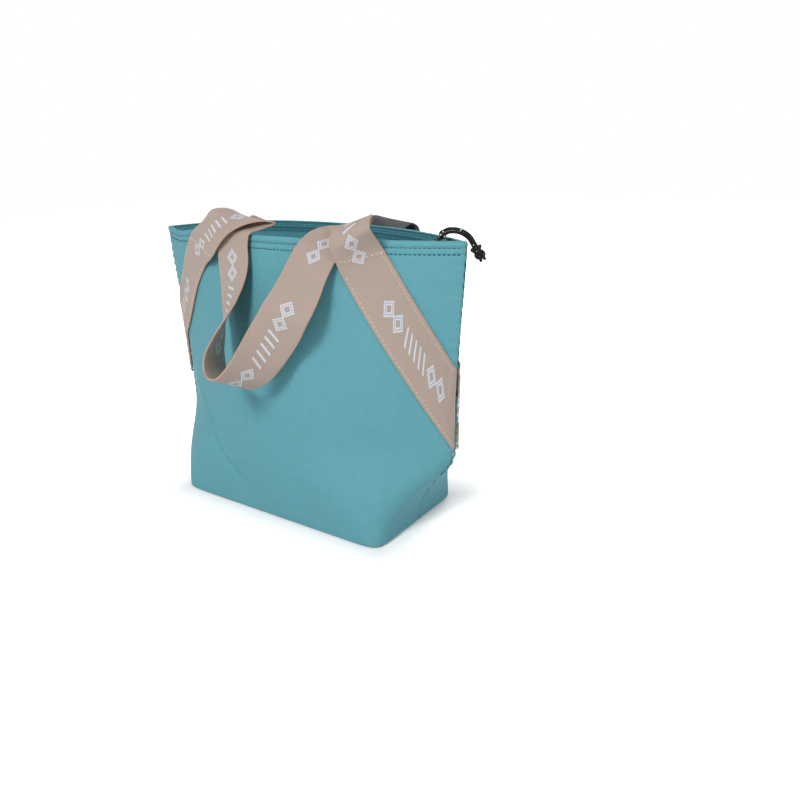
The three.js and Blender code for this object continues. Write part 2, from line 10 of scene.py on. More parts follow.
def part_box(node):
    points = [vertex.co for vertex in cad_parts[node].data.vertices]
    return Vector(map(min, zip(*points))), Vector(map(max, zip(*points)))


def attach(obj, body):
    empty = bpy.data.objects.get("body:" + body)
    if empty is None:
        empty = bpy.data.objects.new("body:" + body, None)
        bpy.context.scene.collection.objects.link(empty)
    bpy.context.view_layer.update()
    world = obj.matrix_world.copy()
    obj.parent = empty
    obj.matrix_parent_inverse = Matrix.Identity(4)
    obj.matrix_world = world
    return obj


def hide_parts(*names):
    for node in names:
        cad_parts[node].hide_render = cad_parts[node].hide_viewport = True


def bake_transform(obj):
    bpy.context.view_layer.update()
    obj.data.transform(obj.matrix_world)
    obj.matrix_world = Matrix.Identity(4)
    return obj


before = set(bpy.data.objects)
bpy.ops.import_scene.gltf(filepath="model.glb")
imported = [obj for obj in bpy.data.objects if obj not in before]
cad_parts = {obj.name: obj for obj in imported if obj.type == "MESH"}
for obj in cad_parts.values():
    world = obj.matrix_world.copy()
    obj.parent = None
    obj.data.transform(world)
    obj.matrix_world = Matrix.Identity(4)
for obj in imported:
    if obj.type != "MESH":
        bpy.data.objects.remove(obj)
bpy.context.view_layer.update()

# The camera stands where the photograph was taken: a little above the rim, to the right of the front
# panel, and looking down at it.
CAMERA_REACH = 0.688
CAMERA_HEIGHT = 0.345
CAMERA_AZIMUTH = math.radians(42.4)
CAMERA_PAN = math.radians(-7.27)
CAMERA_PITCH = math.radians(20.26)
CAMERA_ROLL = math.radians(-1.9)
CAMERA_FOCAL = 752 / 800

facing_azimuth = CAMERA_AZIMUTH + CAMERA_PAN
view_ahead = Vector((
    -math.sin(facing_azimuth) * math.cos(CAMERA_PITCH),
    math.cos(facing_azimuth) * math.cos(CAMERA_PITCH),
    -math.sin(CAMERA_PITCH),
))
level_right = Vector((math.cos(facing_azimuth), math.sin(facing_azimuth), 0))
level_up = level_right.cross(view_ahead)
view_right = level_right * math.cos(CAMERA_ROLL) + level_up * math.sin(CAMERA_ROLL)
view_up = level_up * math.cos(CAMERA_ROLL) - level_right * math.sin(CAMERA_ROLL)
camera_data = bpy.data.cameras.new("photograph_view")
camera_data.lens = camera_data.sensor_width * CAMERA_FOCAL
camera = bpy.data.objects.new("photograph_view", camera_data)
camera.matrix_world = Matrix((
    (view_right.x, view_up.x, -view_ahead.x, CAMERA_REACH * math.sin(CAMERA_AZIMUTH)),
    (view_right.y, view_up.y, -view_ahead.y, -CAMERA_REACH * math.cos(CAMERA_AZIMUTH)),
    (view_right.z, view_up.z, -view_ahead.z, CAMERA_HEIGHT),
    (0, 0, 0, 1),
))
bpy.context.scene.collection.objects.link(camera)
bpy.context.scene.camera = camera

# The pull is a black cord with pale tracer flecks. It is looped through the puller's slot, and its two
# strands lie together over the right corner of the rim and end in a tight knot outside the bag.
STRAND = 0.0025
STRAND_OFFSET = 0.00128
# The arch over the rim's corner: each share of the way, and how far the cord lies above its start
CORD_ARCH = [(0.14, 0.0017), (0.33, 0.0023), (0.52, 0.0018), (0.69, 0.0003), (0.85, -0.0024)]
PULLER_LEAN = math.radians(48)
PULLER_TIP = 0.0206
PIN_HEIGHT = 0.2480
KNOT_CENTRE = np.array([0.18394, 0, 0.2505])
KNOT_TILT = math.radians(35)
KNOT_ENTRY = 0.0063
INTO_KNOT = 0.0028
# The bar that the cord loops round: its place along the puller, and the loop's reach along and off it
SLOT_BAR = 0.0189
LOOP_REACH = 0.0025
LOOP_LIFT = 0.0021
# The cord's way starts in the slot, at two places along the puller
BRAID_COLUMNS = 14
CORD_BLACK = (0.004, 0.004, 0.005)
CORD_FLECK = (0.72, 0.74, 0.78)
BRAID_PITCH = 0.0022


def new_material(name, roughness, metallic=0.0):
    """A material with its Principled shader and output, and the node tree to build on."""
    material = bpy.data.materials.new(name)
    material.use_nodes = True
    shader = material.node_tree.nodes["Principled BSDF"]
    shader.inputs["Roughness"].default_value = roughness
    shader.inputs["Metallic"].default_value = metallic
    return material, material.node_tree, shader


def new_group(name, inputs, outputs):
    """A shader node group with named sockets; each socket is (name, kind, starting value)."""
    group = bpy.data.node_groups.new(name, "ShaderNodeTree")
    for sockets, direction in ((inputs, "INPUT"), (outputs, "OUTPUT")):
        for socket_name, kind, *value in sockets:
            socket = group.interface.new_socket(socket_name, in_out=direction, socket_type=kind)
            if value:
                socket.default_value = value[0]
    return group, group.nodes.new("NodeGroupInput").outputs, group.nodes.new("NodeGroupOutput").inputs


def math_node(tree, operation, first, second=None, third=None):
    """One Math node; each input is a number or a socket."""
    node = tree.nodes.new("ShaderNodeMath")
    node.operation = operation
    for socket, value in zip(node.inputs, (first, second, third)):
        if value is None:
            continue
        if isinstance(value, bpy.types.NodeSocket):
            tree.links.new(value, socket)
        else:
            socket.default_value = value
    return node.outputs[0]


def mix_colours(tree, factor, first, second):
    """One Mix node for colours; each input is a colour, a number or a socket."""
    node = tree.nodes.new("ShaderNodeMix")
    node.data_type = "RGBA"
    for socket, value in ((node.inputs["Factor"], factor), (node.inputs[6], first), (node.inputs[7], second)):
        if isinstance(value, bpy.types.NodeSocket):
            tree.links.new(value, socket)
        elif isinstance(value, tuple):
            socket.default_value = (*value, 1)
        else:
            socket.default_value = value
    return node.outputs[2]


def placed_group(tree, group, **values):
    """A node group placed in a material with its own values or links."""
    node = tree.nodes.new("ShaderNodeGroup")
    node.node_tree = group
    for name, value in values.items():
        if isinstance(value, bpy.types.NodeSocket):
            tree.links.new(value, node.inputs[name])
        else:
            node.inputs[name].default_value = value
    return node.outputs


def cloth_place(tree):
    """Where a point lies on the flat cloth, in metres: the mesh's UV, as two sockets."""
    place = tree.nodes.new("ShaderNodeUVMap")
    place.uv_map = "cloth"
    parts = tree.nodes.new("ShaderNodeSeparateXYZ")
    tree.links.new(place.outputs["UV"], parts.inputs[0])
    return parts.outputs["X"], parts.outputs["Y"], place.outputs["UV"]


def bumped(tree, shader, height, distance, strength=1.0):
    """Joins a height to the shader's normal, at a real distance in metres."""
    bump = tree.nodes.new("ShaderNodeBump")
    bump.inputs["Distance"].default_value = distance
    bump.inputs["Strength"].default_value = strength
    tree.links.new(height, bump.inputs["Height"])
    tree.links.new(bump.outputs["Normal"], shader.inputs["Normal"])


def mesh_piece(name, points, faces, material, uv=None, smooth_angle=45):
    """A mesh object, shaded smooth up to an angle, with the flat cloth's place as its UV."""
    mesh = bpy.data.meshes.new(name)
    mesh.from_pydata([tuple(p) for p in points], [], [tuple(f) for f in faces])
    if uv is not None:
        layer = mesh.uv_layers.new(name="cloth")
        corners = np.empty(len(mesh.loops), dtype=np.int64)
        mesh.loops.foreach_get("vertex_index", corners)
        layer.data.foreach_set("uv", np.asarray(uv, dtype=np.float32)[corners].ravel())
    mesh.shade_smooth()
    mesh.set_sharp_from_angle(angle=math.radians(smooth_angle))
    mesh.materials.append(material)
    piece = bpy.data.objects.new(name, mesh)
    bpy.context.scene.collection.objects.link(piece)
    return piece


def grid_quads(rows, columns, ring=False):
    """The faces of a grid of points, closed round its columns where it is a ring."""
    r, c = np.meshgrid(np.arange(rows - 1), np.arange(columns if ring else columns - 1), indexing="ij")
    right = (c + 1) % columns
    return np.stack([r * columns + c, r * columns + right, (r + 1) * columns + right, (r + 1) * columns + c],
                    axis=-1).reshape(-1, 4)


def catmull_curve(points, samples, centripetal=True):
    """Points along the smooth curve through some places, with as many samples to each span."""
    places = np.asarray(points, dtype=float)
    ends = np.vstack([2 * places[0] - places[1], places, 2 * places[-1] - places[-2]])
    out = []
    for i in range(len(places) - 1):
        p0, p1, p2, p3 = ends[i:i + 4]
        if centripetal:
            steps = [max(np.linalg.norm(b - a) ** 0.5, 1e-4) for a, b in ((p0, p1), (p1, p2), (p2, p3))]
        else:
            steps = [1, 1, 1]
        start = ((p1 - p0) / steps[0] - (p2 - p0) / (steps[0] + steps[1]) + (p2 - p1) / steps[1]) * steps[1]
        end = ((p2 - p1) / steps[1] - (p3 - p1) / (steps[1] + steps[2]) + (p3 - p2) / steps[2]) * steps[1]
        t = np.linspace(0, 1, samples + 1)[:-1, None]
        out.append((2 * p1 - 2 * p2 + start + end) * t ** 3 + (3 * p2 - 3 * p1 - 2 * start - end) * t ** 2
                   + start * t + p1)
    return np.vstack([*out, places[-1:]])


def unit(vectors):
    """Vectors of length one."""
    return vectors / np.maximum(np.linalg.norm(vectors, axis=-1, keepdims=True), 1e-12)


def swept_tube(name, line, width, thick, material, side=(0, 1, 0), sides=BRAID_COLUMNS):
    """A closed tube with an oval section along a line; side is the way its width lies."""
    line = np.asarray(line, dtype=float)
    along = unit(np.gradient(line, axis=0))
    across = unit(np.asarray(side, dtype=float) - along * (along @ np.asarray(side, dtype=float))[:, None])
    normal = np.cross(along, across)
    angles = np.arange(sides) / sides * 2 * math.pi
    rings = (line[:, None] + across[:, None] * np.cos(angles)[None, :, None] * width / 2
             + normal[:, None] * np.sin(angles)[None, :, None] * thick / 2)
    points = np.vstack([rings.reshape(-1, 3), line[0], line[-1]])
    count = len(line) * sides
    faces = [tuple(f) for f in grid_quads(len(line), sides, ring=True)]
    for i in range(sides):
        faces.append(((i + 1) % sides, i, count))
        faces.append((count - sides + i, count - sides + (i + 1) % sides, count + 1))
    run = np.concatenate([[0], np.cumsum(np.linalg.norm(np.diff(line, axis=0), axis=1))])
    girth = angles / (2 * math.pi) * (width + thick) * 1.5
    uv = np.stack([np.repeat(run, sides), np.tile(girth, len(line))], -1)
    uv = np.vstack([uv, uv[0], uv[-1]])
    return mesh_piece(name, points, faces, material, uv)


braid_group, braid_in, braid_out = new_group(
    "braided_yarn",
    [("Place", "NodeSocketVector"), ("Pitch", "NodeSocketFloat", 0.002), ("Flecks", "NodeSocketFloat", 0.3)],
    [("Height", "NodeSocketFloat"), ("Fleck", "NodeSocketFloat")],
)
braid_parts = braid_group.nodes.new("ShaderNodeSeparateXYZ")
braid_group.links.new(braid_in["Place"], braid_parts.inputs[0])
braid_u = math_node(braid_group, "DIVIDE", braid_parts.outputs["X"], braid_in["Pitch"])
braid_v = math_node(braid_group, "DIVIDE", braid_parts.outputs["Y"], braid_in["Pitch"])
braid_one = math_node(braid_group, "ADD", braid_u, braid_v)
braid_two = math_node(braid_group, "SUBTRACT", braid_u, braid_v)
braid_waves = [math_node(braid_group, "ABSOLUTE", math_node(braid_group, "SINE",
               math_node(braid_group, "MULTIPLY", turn, math.pi))) for turn in (braid_one, braid_two)]
braid_group.links.new(math_node(braid_group, "MULTIPLY", *braid_waves), braid_out["Height"])
braid_cells = braid_group.nodes.new("ShaderNodeCombineXYZ")
braid_group.links.new(math_node(braid_group, "FLOOR", braid_one), braid_cells.inputs[0])
braid_group.links.new(math_node(braid_group, "FLOOR", braid_two), braid_cells.inputs[1])
braid_random = braid_group.nodes.new("ShaderNodeTexWhiteNoise")
braid_random.noise_dimensions = "2D"
braid_group.links.new(braid_cells.outputs[0], braid_random.inputs["Vector"])
braid_group.links.new(
    math_node(braid_group, "MULTIPLY",
              math_node(braid_group, "LESS_THAN", braid_random.outputs["Value"], braid_in["Flecks"]),
              math_node(braid_group, "GREATER_THAN", math_node(braid_group, "MULTIPLY", *braid_waves), 0.3)),
    braid_out["Fleck"],
)

cord_material, tree, shader = new_material("black_braid", 0.7)
braid = placed_group(tree, braid_group, Place=cloth_place(tree)[2], Pitch=BRAID_PITCH, Flecks=0.05)
tree.links.new(mix_colours(tree, braid["Fleck"], CORD_BLACK, CORD_FLECK), shader.inputs["Base Color"])
shader.inputs["Specular IOR Level"].default_value = 0.25
bumped(tree, shader, braid["Height"], 0.0003)

lean_along = np.array([math.cos(PULLER_LEAN), 0, math.sin(PULLER_LEAN)])
lean_up = np.array([-math.sin(PULLER_LEAN), 0, math.cos(PULLER_LEAN)])
slider_low, slider_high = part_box("zip_slider")
puller_pin = np.array([(slider_low[0] + slider_high[0]) / 2, 0, PIN_HEIGHT])
cord_start = puller_pin + lean_along * PULLER_TIP
cord_end = KNOT_CENTRE + KNOT_ENTRY * np.array([-math.sin(KNOT_TILT), 0, math.cos(KNOT_TILT)])
cord_arch = [cord_start + (share * (cord_end[0] - cord_start[0]), 0, rise) for share, rise in CORD_ARCH]
cord_line = catmull_curve([cord_start, *cord_arch, cord_end], 4)
cord_along = unit(np.gradient(cord_line, axis=0))
cord_up = np.cross(cord_along, (0, 1, 0)) * -1
cord_up *= np.sign(cord_up[:, 2:])
slot_turn = np.linspace(math.radians(80), math.radians(280), 15)[:, None]
loop_along = lean_along * (SLOT_BAR + LOOP_REACH * np.cos(slot_turn))
slot_loop = puller_pin + loop_along + lean_up * LOOP_LIFT * np.sin(slot_turn)
strand_line = np.vstack([
    (cord_line + cord_up * STRAND_OFFSET)[::-1], slot_loop, cord_line - cord_up * STRAND_OFFSET,
])
into_knot = cord_along[-1] * INTO_KNOT
strand_line = np.vstack([strand_line[:1] + into_knot, strand_line, strand_line[-1:] + into_knot])
strand_line = catmull_curve(strand_line, 3)
pull_cord = swept_tube("pull_cord_strands", strand_line, STRAND, STRAND, cord_material, sides=12)

KNOT_SIZE = np.array([0.0040, 0.0038, 0.0050])
KNOT_STRAND_RADIUS = STRAND * 0.54
INNER_TURNS = 0.62
TAIL_SPREADS = (-0.0013, 0.0014)
TAIL_START = 0.0035
TAIL_REACH = 0.0078
TAIL_PLACES = 8

knot_turn = np.linspace(0, 2 * math.pi, 120, endpoint=False)


def knot_place(across, depth, height):
    """A place in the knot, whose upper end leans back along the cord."""
    tilted = np.stack([across * math.cos(KNOT_TILT) - height * math.sin(KNOT_TILT), depth,
                       across * math.sin(KNOT_TILT) + height * math.cos(KNOT_TILT)], axis=-1)
    return KNOT_CENTRE + tilted


def knot_strand(phase, size):
    """One strand's way round the knot."""
    turn = knot_turn + phase
    return knot_place(KNOT_SIZE[0] * size / 3 * (np.sin(turn) + 2 * np.sin(2 * turn)),
                      KNOT_SIZE[1] * size / 3 * -2.6 * np.sin(3 * turn),
                      KNOT_SIZE[2] * size / 3 * (np.cos(turn) - 2 * np.cos(2 * turn)))


def closed_tube(name, line, radius, material, sides=12):
    """A tube along a closed line, such as a knot's; its rings turn as little as they can."""
    along = unit(np.roll(line, -1, axis=0) - np.roll(line, 1, axis=0))
    normals = [np.cross(along[0], (0, 0, 1))]
    for direction in along[1:]:
        normals.append(normals[-1] - direction * (normals[-1] @ direction))
    normals = unit(np.array(normals))
    sides_way = np.cross(along, normals)
    twist = math.atan2(normals[-1] @ sides_way[0], normals[-1] @ normals[0])
    spread = np.linspace(0, 1, len(line), endpoint=False) * -twist
    angles = np.arange(sides) / sides * 2 * math.pi
    turned = angles[None, :] + spread[:, None]
    rings = (line[:, None] + normals[:, None] * np.cos(turned)[..., None] * radius
             + sides_way[:, None] * np.sin(turned)[..., None] * radius)
    r, c = np.meshgrid(np.arange(len(line)), np.arange(sides), indexing="ij")
    ahead = (r + 1) % len(line)
    around = (c + 1) % sides
    faces = np.stack([r * sides + c, r * sides + around, ahead * sides + around, ahead * sides + c], -1)
    run = np.arange(len(line)) / len(line) * np.linalg.norm(np.diff(line, axis=0), axis=1).sum()
    uv = np.stack([np.repeat(run, sides), np.tile(angles * radius, len(line))], -1)
    return mesh_piece(name, rings.reshape(-1, 3), faces.reshape(-1, 4), material, uv)


pull_knot = closed_tube("pull_knot_outer_turns", knot_strand(0, 1), KNOT_STRAND_RADIUS, cord_material)
inner_line = knot_strand(math.pi / 3, INNER_TURNS)
inner_turns = closed_tube("pull_knot_inner_turns", inner_line, KNOT_STRAND_RADIUS, cord_material)
pull_tails = []
for number, spread in enumerate(TAIL_SPREADS):
    reach = np.linspace(TAIL_START, TAIL_REACH, TAIL_PLACES)
    tail_line = knot_place(spread * (reach / TAIL_REACH * 1.2), np.full(TAIL_PLACES, spread * 0.5), -reach)
    tail = swept_tube(f"pull_tail_{number + 1}", tail_line, STRAND, STRAND, cord_material, sides=12)
    pull_tails.append(tail)
for piece in (pull_cord, pull_knot, inner_turns, *pull_tails):
    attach(piece, "puller")
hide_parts("pull_cord")
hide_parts("pull_knot")

# The outer shell is two panels of teal coated cloth that meet at the side seams, with boxed corners at
# the base. Each is hemmed at the rim, where it folds over and lines the mouth as a facing.
HEIGHT = 0.258
BASE_DEPTH = 0.128
BASE_CLOTH_WIDTH = 0.360
RIM_CLOTH_WIDTH = 0.368
MOUTH_GAP = 0.096
WALL_BULGE = 0.009
BOXED_HEIGHT = 0.095
LEFT_CORNER_DROOP = 0.006
RIGHT_CORNER_DROOP = 0.0015
SEAM_HALF_GAP = 0.00008
TABLE_LEVELS = 80
TABLE_COLUMNS = 400
TEAL = (0.104, 0.318, 0.372)
TEAL_WORN = (0.128, 0.356, 0.412)
# The facing is the same cloth as the outside; its darker teal is painted shade of the mouth's inside.
TEAL_FACING_SHADE = (0.078, 0.262, 0.308)
# How far up the flat cloth the part starts that is turned in as the facing
FACING_START = 0.2625
# The section is a rounded box: its powers across and along, and how much the boxed corners add to them
SECTION_ACROSS = (2.1, 16)
SECTION_ALONG = (1, 10)
SECTION_PLACES = 801


def half_section(level):
    """The wall's front half at one level: points a steady way apart along the cloth, seam to seam."""
    boxed = max(1 - level * HEIGHT / BOXED_HEIGHT, 0) ** 1.5
    across = SECTION_ACROSS[0] + SECTION_ACROSS[1] * boxed * boxed
    along = SECTION_ALONG[0] + SECTION_ALONG[1] * boxed * boxed
    bulge = WALL_BULGE * math.sin(math.pi * level)
    depth = (BASE_DEPTH + (MOUTH_GAP - BASE_DEPTH) * level ** 1.5) / 2 + bulge
    cloth = BASE_CLOTH_WIDTH + (RIM_CLOTH_WIDTH - BASE_CLOTH_WIDTH) * level
    share = np.sin(np.linspace(-0.5, 0.5, SECTION_PLACES) * math.pi)
    y = -depth * np.maximum(1 - np.abs(share) ** across, 0) ** (1 / along)
    low, high = cloth * 0.2, cloth * 0.5
    for _ in range(30):
        reach = (low + high) / 2
        length = np.hypot(np.diff(share * reach), np.diff(y)).sum()
        low, high = (low, reach) if length > cloth else (reach, high)
    x = share * low
    run = np.concatenate([[0], np.cumsum(np.hypot(np.diff(x), np.diff(y)))])
    even = np.linspace(0, run[-1], TABLE_COLUMNS + 1)
    droop = np.where(x < 0, LEFT_CORNER_DROOP, RIGHT_CORNER_DROOP) * np.abs(share) ** 3 * level ** 3
    return np.stack([np.interp(even, run, v) for v in (x, y, level * HEIGHT - droop)], axis=-1)


wall_table = np.array([half_section(i / TABLE_LEVELS) for i in range(TABLE_LEVELS + 1)])
table_run = np.gradient(wall_table, axis=1)
wall_ways = [table_run[..., 1], -table_run[..., 0], np.zeros_like(table_run[..., 0])]
wall_normals = unit(np.stack(wall_ways, axis=-1))


def cloth_width(height):
    """Width of one panel of cloth at a height."""
    return BASE_CLOTH_WIDTH + (RIM_CLOTH_WIDTH - BASE_CLOTH_WIDTH) * np.clip(height / HEIGHT, 0, 1)


def between(table, r, c, u, v):
    """The table's value a share u past row r and a share v past column c."""
    return ((table[r, c] * (1 - u) + table[r + 1, c] * u) * (1 - v)
            + (table[r, c + 1] * (1 - u) + table[r + 1, c + 1] * u) * v)


def looked_up(table, height, s):
    """The table's value at a height and a place along the cloth."""
    row = np.clip(height / HEIGHT, 0, 1) * TABLE_LEVELS
    column = np.clip(s / cloth_width(height) + 0.5, 0, 1) * TABLE_COLUMNS
    r = np.minimum(row.astype(int), TABLE_LEVELS - 1)
    c = np.minimum(column.astype(int), TABLE_COLUMNS - 1)
    return between(table, r, c, (row - r)[..., None], (column - c)[..., None])


# Creases in the cloth: the two ends as (along the cloth, height), the half width, and how far it stands
# out. The first is the fold that the boxed corner pulls across the front panel.
CREASES = {
    "front": [
        ((-0.124, 0.112), (-0.024, 0.030), 0.0022, 0.0024),
        ((-0.112, 0.096), (-0.020, 0.022), 0.0070, -0.0018),
        ((0.150, 0.232), (0.176, 0.226), 0.0030, 0.0006),
        ((0.146, 0.222), (0.172, 0.214), 0.0040, -0.0006),
        ((0.128, 0.120), (0.120, 0.030), 0.0060, 0.0010),
        ((0.060, 0.020), (0.118, 0.050), 0.0050, 0.0006),
        ((-0.150, 0.190), (-0.120, 0.120), 0.0080, 0.0009),
    ],
    "back": [
        ((0.118, 0.112), (0.040, 0.034), 0.0025, 0.0009),
        ((-0.126, 0.104), (-0.052, 0.030), 0.0030, 0.0008),
        ((-0.030, 0.180), (0.060, 0.150), 0.0120, -0.0012),
        ((-0.150, 0.214), (-0.172, 0.206), 0.0040, -0.0006),
        ((-0.128, 0.120), (-0.120, 0.030), 0.0060, 0.0010),
    ],
}
# How far down from the rim the hem's two outer rows of stitches lie, and how deep they pull the cloth
HEM_ROWS = (0.0042, 0.0093)
STITCH_DIP = 0.0006
# Soft swells of the panels, puckers at the side seams and the tuck of the seam itself
BROAD_SWELL = 0.0011
BROAD_LENGTH = 0.21
SMALL_SWELL = 0.0006
SMALL_LENGTH = 0.083
SEAM_PUCKER = 0.0007
PUCKER_PITCH = 0.0085
SEAM_TUCK = 0.0012
# Puckers under the hem's rows, the fold's rounded bead and the small waves of the rim
HEM_PUCKER = 0.00022
HEM_PITCH = 0.0115
RIM_BEAD = 0.0005
RIM_WAVE = 0.00030
RIM_WAVE_LENGTH = 0.0093
# The front rim sags near its left corner: how far, where along the cloth and over what half width
RIM_SAG = 0.0035
RIM_SAG_PLACE = -0.138
RIM_SAG_REACH = 0.030


def ruffle(side, height, s):
    """How far the cloth stands out from its smooth shape: swells, creases, hem and puckers at the seams."""
    sign = 1 if side == "front" else -1
    free = np.clip(height / 0.02, 0, 1) * np.clip((HEIGHT - height) / 0.03, 0, 1)
    broad = np.sin(2 * math.pi * (s * sign / BROAD_LENGTH + 0.1))
    out = BROAD_SWELL * broad * np.sin(math.pi * height / HEIGHT)
    out += SMALL_SWELL * np.sin(2 * math.pi * (s * sign / SMALL_LENGTH + height / 0.17)) * free
    for (s0, h0), (s1, h1), width, rise in CREASES[side]:
        run = np.array([s1 - s0, h1 - h0])
        length = np.linalg.norm(run)
        t = np.clip(((s - s0) * run[0] + (height - h0) * run[1]) / length ** 2, 0, 1)
        off = np.hypot(s - s0 - t * run[0], height - h0 - t * run[1])
        out += rise * np.exp(-(off / width) ** 2) * np.sin(math.pi * np.clip(t, 0.02, 0.98)) ** 0.5
    seam = np.maximum(cloth_width(height) / 2 - np.abs(s), 0)
    pucker = np.sin(2 * math.pi * height / PUCKER_PITCH + 2.2 * np.sin(height * 60) + sign)
    out += SEAM_PUCKER * pucker * np.exp(-((seam - 0.004) / 0.006) ** 2) * free
    out -= SEAM_TUCK * np.exp(-(seam / 0.0016) ** 2)
    down = HEIGHT - height
    hem_pucker = np.sin(2 * math.pi * s / HEM_PITCH + 2.5 * np.sin(s * 45))
    out += HEM_PUCKER * hem_pucker * np.exp(-((down - 0.011) / 0.006) ** 2)
    out += RIM_BEAD * np.exp(-((down - 0.0016) / 0.0014) ** 2)
    rim_wave = np.sin(2 * math.pi * s / RIM_WAVE_LENGTH + 1.7 * np.sin(s * 70))
    out += (RIM_WAVE * rim_wave) * np.exp(-(down / 0.003) ** 2)
    for row in HEM_ROWS:
        out -= STITCH_DIP * np.exp(-((down - row) / 0.0008) ** 2)
    return out


def cloth_point(side, height, s, depth):
    """A point of the wall: height up it, s along the cloth from its middle, and depth into the bag."""
    height, s, depth = np.broadcast_arrays(*(np.asarray(v, dtype=float) for v in (height, s, depth)))
    point = looked_up(wall_table, height, s)
    point = point - unit(looked_up(wall_normals, height, s)) * (depth - ruffle(side, height, s))[..., None]
    point[..., 2] += np.maximum(height - HEIGHT, 0)
    if side == "front":
        sag = RIM_SAG * np.exp(-((s - RIM_SAG_PLACE) / RIM_SAG_REACH) ** 2)
        point[..., 2] -= sag * (np.minimum(height, HEIGHT) / HEIGHT) ** 6
    point[..., 1] = np.minimum(point[..., 1], -SEAM_HALF_GAP)
    if side == "back":
        point[..., 1] *= -1
    return point


def closed_sheet(name, face, back, uv, material, smooth_angle=45):
    """A thin closed mesh between two grids of points, its faces pointing out."""
    rows, columns = face.shape[:2]
    points = np.vstack([face.reshape(-1, 3), back.reshape(-1, 3)])
    index = np.arange(rows * columns).reshape(rows, columns)
    under = rows * columns
    quads = grid_quads(rows, columns)
    rim = np.concatenate([index[0, :-1], index[:-1, -1], index[-1, :0:-1], index[:0:-1, 0]])
    follow = np.roll(rim, -1)
    walls = np.stack([rim, rim + under, follow + under, follow], axis=-1)
    faces = np.vstack([quads, quads[:, ::-1] + under, walls])
    middle, out = rows // 2, columns // 2
    a, b, c, _ = (face.reshape(-1, 3)[i] for i in quads[middle * (columns - 1) + out])
    if np.cross(b - a, c - a) @ (face[middle, out] - back[middle, out]) < 0:
        faces = faces[:, ::-1]
    return mesh_piece(name, points, faces, material, np.tile(uv.reshape(-1, 2), (2, 1)), smooth_angle)


weave_group, weave_in, weave_out = new_group(
    "plain_weave",
    [("Across", "NodeSocketFloat"), ("Up", "NodeSocketFloat"), ("Thread", "NodeSocketFloat", 0.0006)],
    [("Height", "NodeSocketFloat")],
)
weave_turns = [math_node(weave_group, "MULTIPLY",
               math_node(weave_group, "DIVIDE", weave_in[way], weave_in["Thread"]), math.pi)
               for way in ("Across", "Up")]
weave_group.links.new(
    math_node(weave_group, "MULTIPLY", *(math_node(weave_group, "SINE", turn) for turn in weave_turns)),
    weave_out["Height"],
)

mottle_group, mottle_in, mottle_out = new_group(
    "mottle",
    [("Place", "NodeSocketVector"), ("Size", "NodeSocketFloat", 0.02), ("Contrast", "NodeSocketFloat", 1.0)],
    [("Factor", "NodeSocketFloat")],
)
mottle_scaled = mottle_group.nodes.new("ShaderNodeVectorMath")
mottle_scaled.operation = "SCALE"
mottle_group.links.new(mottle_in["Place"], mottle_scaled.inputs[0])
mottle_scale = math_node(mottle_group, "DIVIDE", 1.0, mottle_in["Size"])
mottle_group.links.new(mottle_scale, mottle_scaled.inputs["Scale"])
mottle_noise = mottle_group.nodes.new("ShaderNodeTexNoise")
mottle_noise.inputs["Detail"].default_value = 4
mottle_group.links.new(mottle_scaled.outputs[0], mottle_noise.inputs["Vector"])
mottle_group.links.new(
    math_node(mottle_group, "ADD",
              math_node(mottle_group, "MULTIPLY",
                        math_node(mottle_group, "SUBTRACT", mottle_noise.outputs["Fac"], 0.5),
                        mottle_in["Contrast"]), 0.5),
    mottle_out["Factor"],
)


def weighted_sum(tree, *parts):
    """The sum of some sockets, each times its own weight."""
    terms = [math_node(tree, "MULTIPLY", value, weight) for value, weight in parts]
    total = terms[0]
    for term in terms[1:]:
        total = math_node(tree, "ADD", total, term)
    return total


def coated_cloth(name, base, worn, roughness):
    """Tightly woven cloth with a thin matt coating: faint weave, soft mottle and a low sheen; the turned-in
    facing is coloured darker as painted shade.
    """
    material, tree, shader = new_material(name, roughness)
    across, up, place = cloth_place(tree)
    weave = placed_group(tree, weave_group, Across=across, Up=up, Thread=0.00045)["Height"]
    broad = placed_group(tree, mottle_group, Place=place, Size=0.035, Contrast=1.2)["Factor"]
    fine = placed_group(tree, mottle_group, Place=place, Size=0.0022, Contrast=1.4)["Factor"]
    tone = weighted_sum(tree, (broad, 0.65), (fine, 0.35))
    # Painted shade: the turned-in facing is coloured darker than the outside.
    facing_shade = math_node(tree, "GREATER_THAN", up, FACING_START)
    outside = mix_colours(tree, tone, base, worn)
    tree.links.new(mix_colours(tree, facing_shade, outside, TEAL_FACING_SHADE), shader.inputs["Base Color"])
    rough = math_node(tree, "ADD", math_node(tree, "MULTIPLY", fine, 0.16), roughness - 0.08)
    tree.links.new(rough, shader.inputs["Roughness"])
    shader.inputs["Specular IOR Level"].default_value = 0.12
    crinkle = placed_group(tree, mottle_group, Place=place, Size=0.012, Contrast=1.2)["Factor"]
    height = weighted_sum(tree, (weave, 0.10), (fine, 0.16), (crinkle, 1.0))
    bumped(tree, shader, height, 0.0004)
    return material


shell_cloth = coated_cloth("teal_coated_cloth", TEAL, TEAL_WORN, 0.58)

PANEL_COLUMNS = 200
# How much closer the panel's columns stand at its seams than at its middle
PANEL_CROWDING = 0.82
CLOTH_THICK = 0.0008
RIM_FOLD = 0.0017
FOLD_STEPS = 6
BASE_ROUNDING = 0.0030
FACING_TOP = 0.2530
FACING_DEPTH = 0.0028
# Places down the facing's face below its top, as (height, depth)
FACING_FACE = [(0.2520, 0.0028), (0.2475, 0.0029), (0.2445, 0.0048), (0.2410, 0.0069), (0.2340, 0.0071),
               (0.2252, 0.0071)]


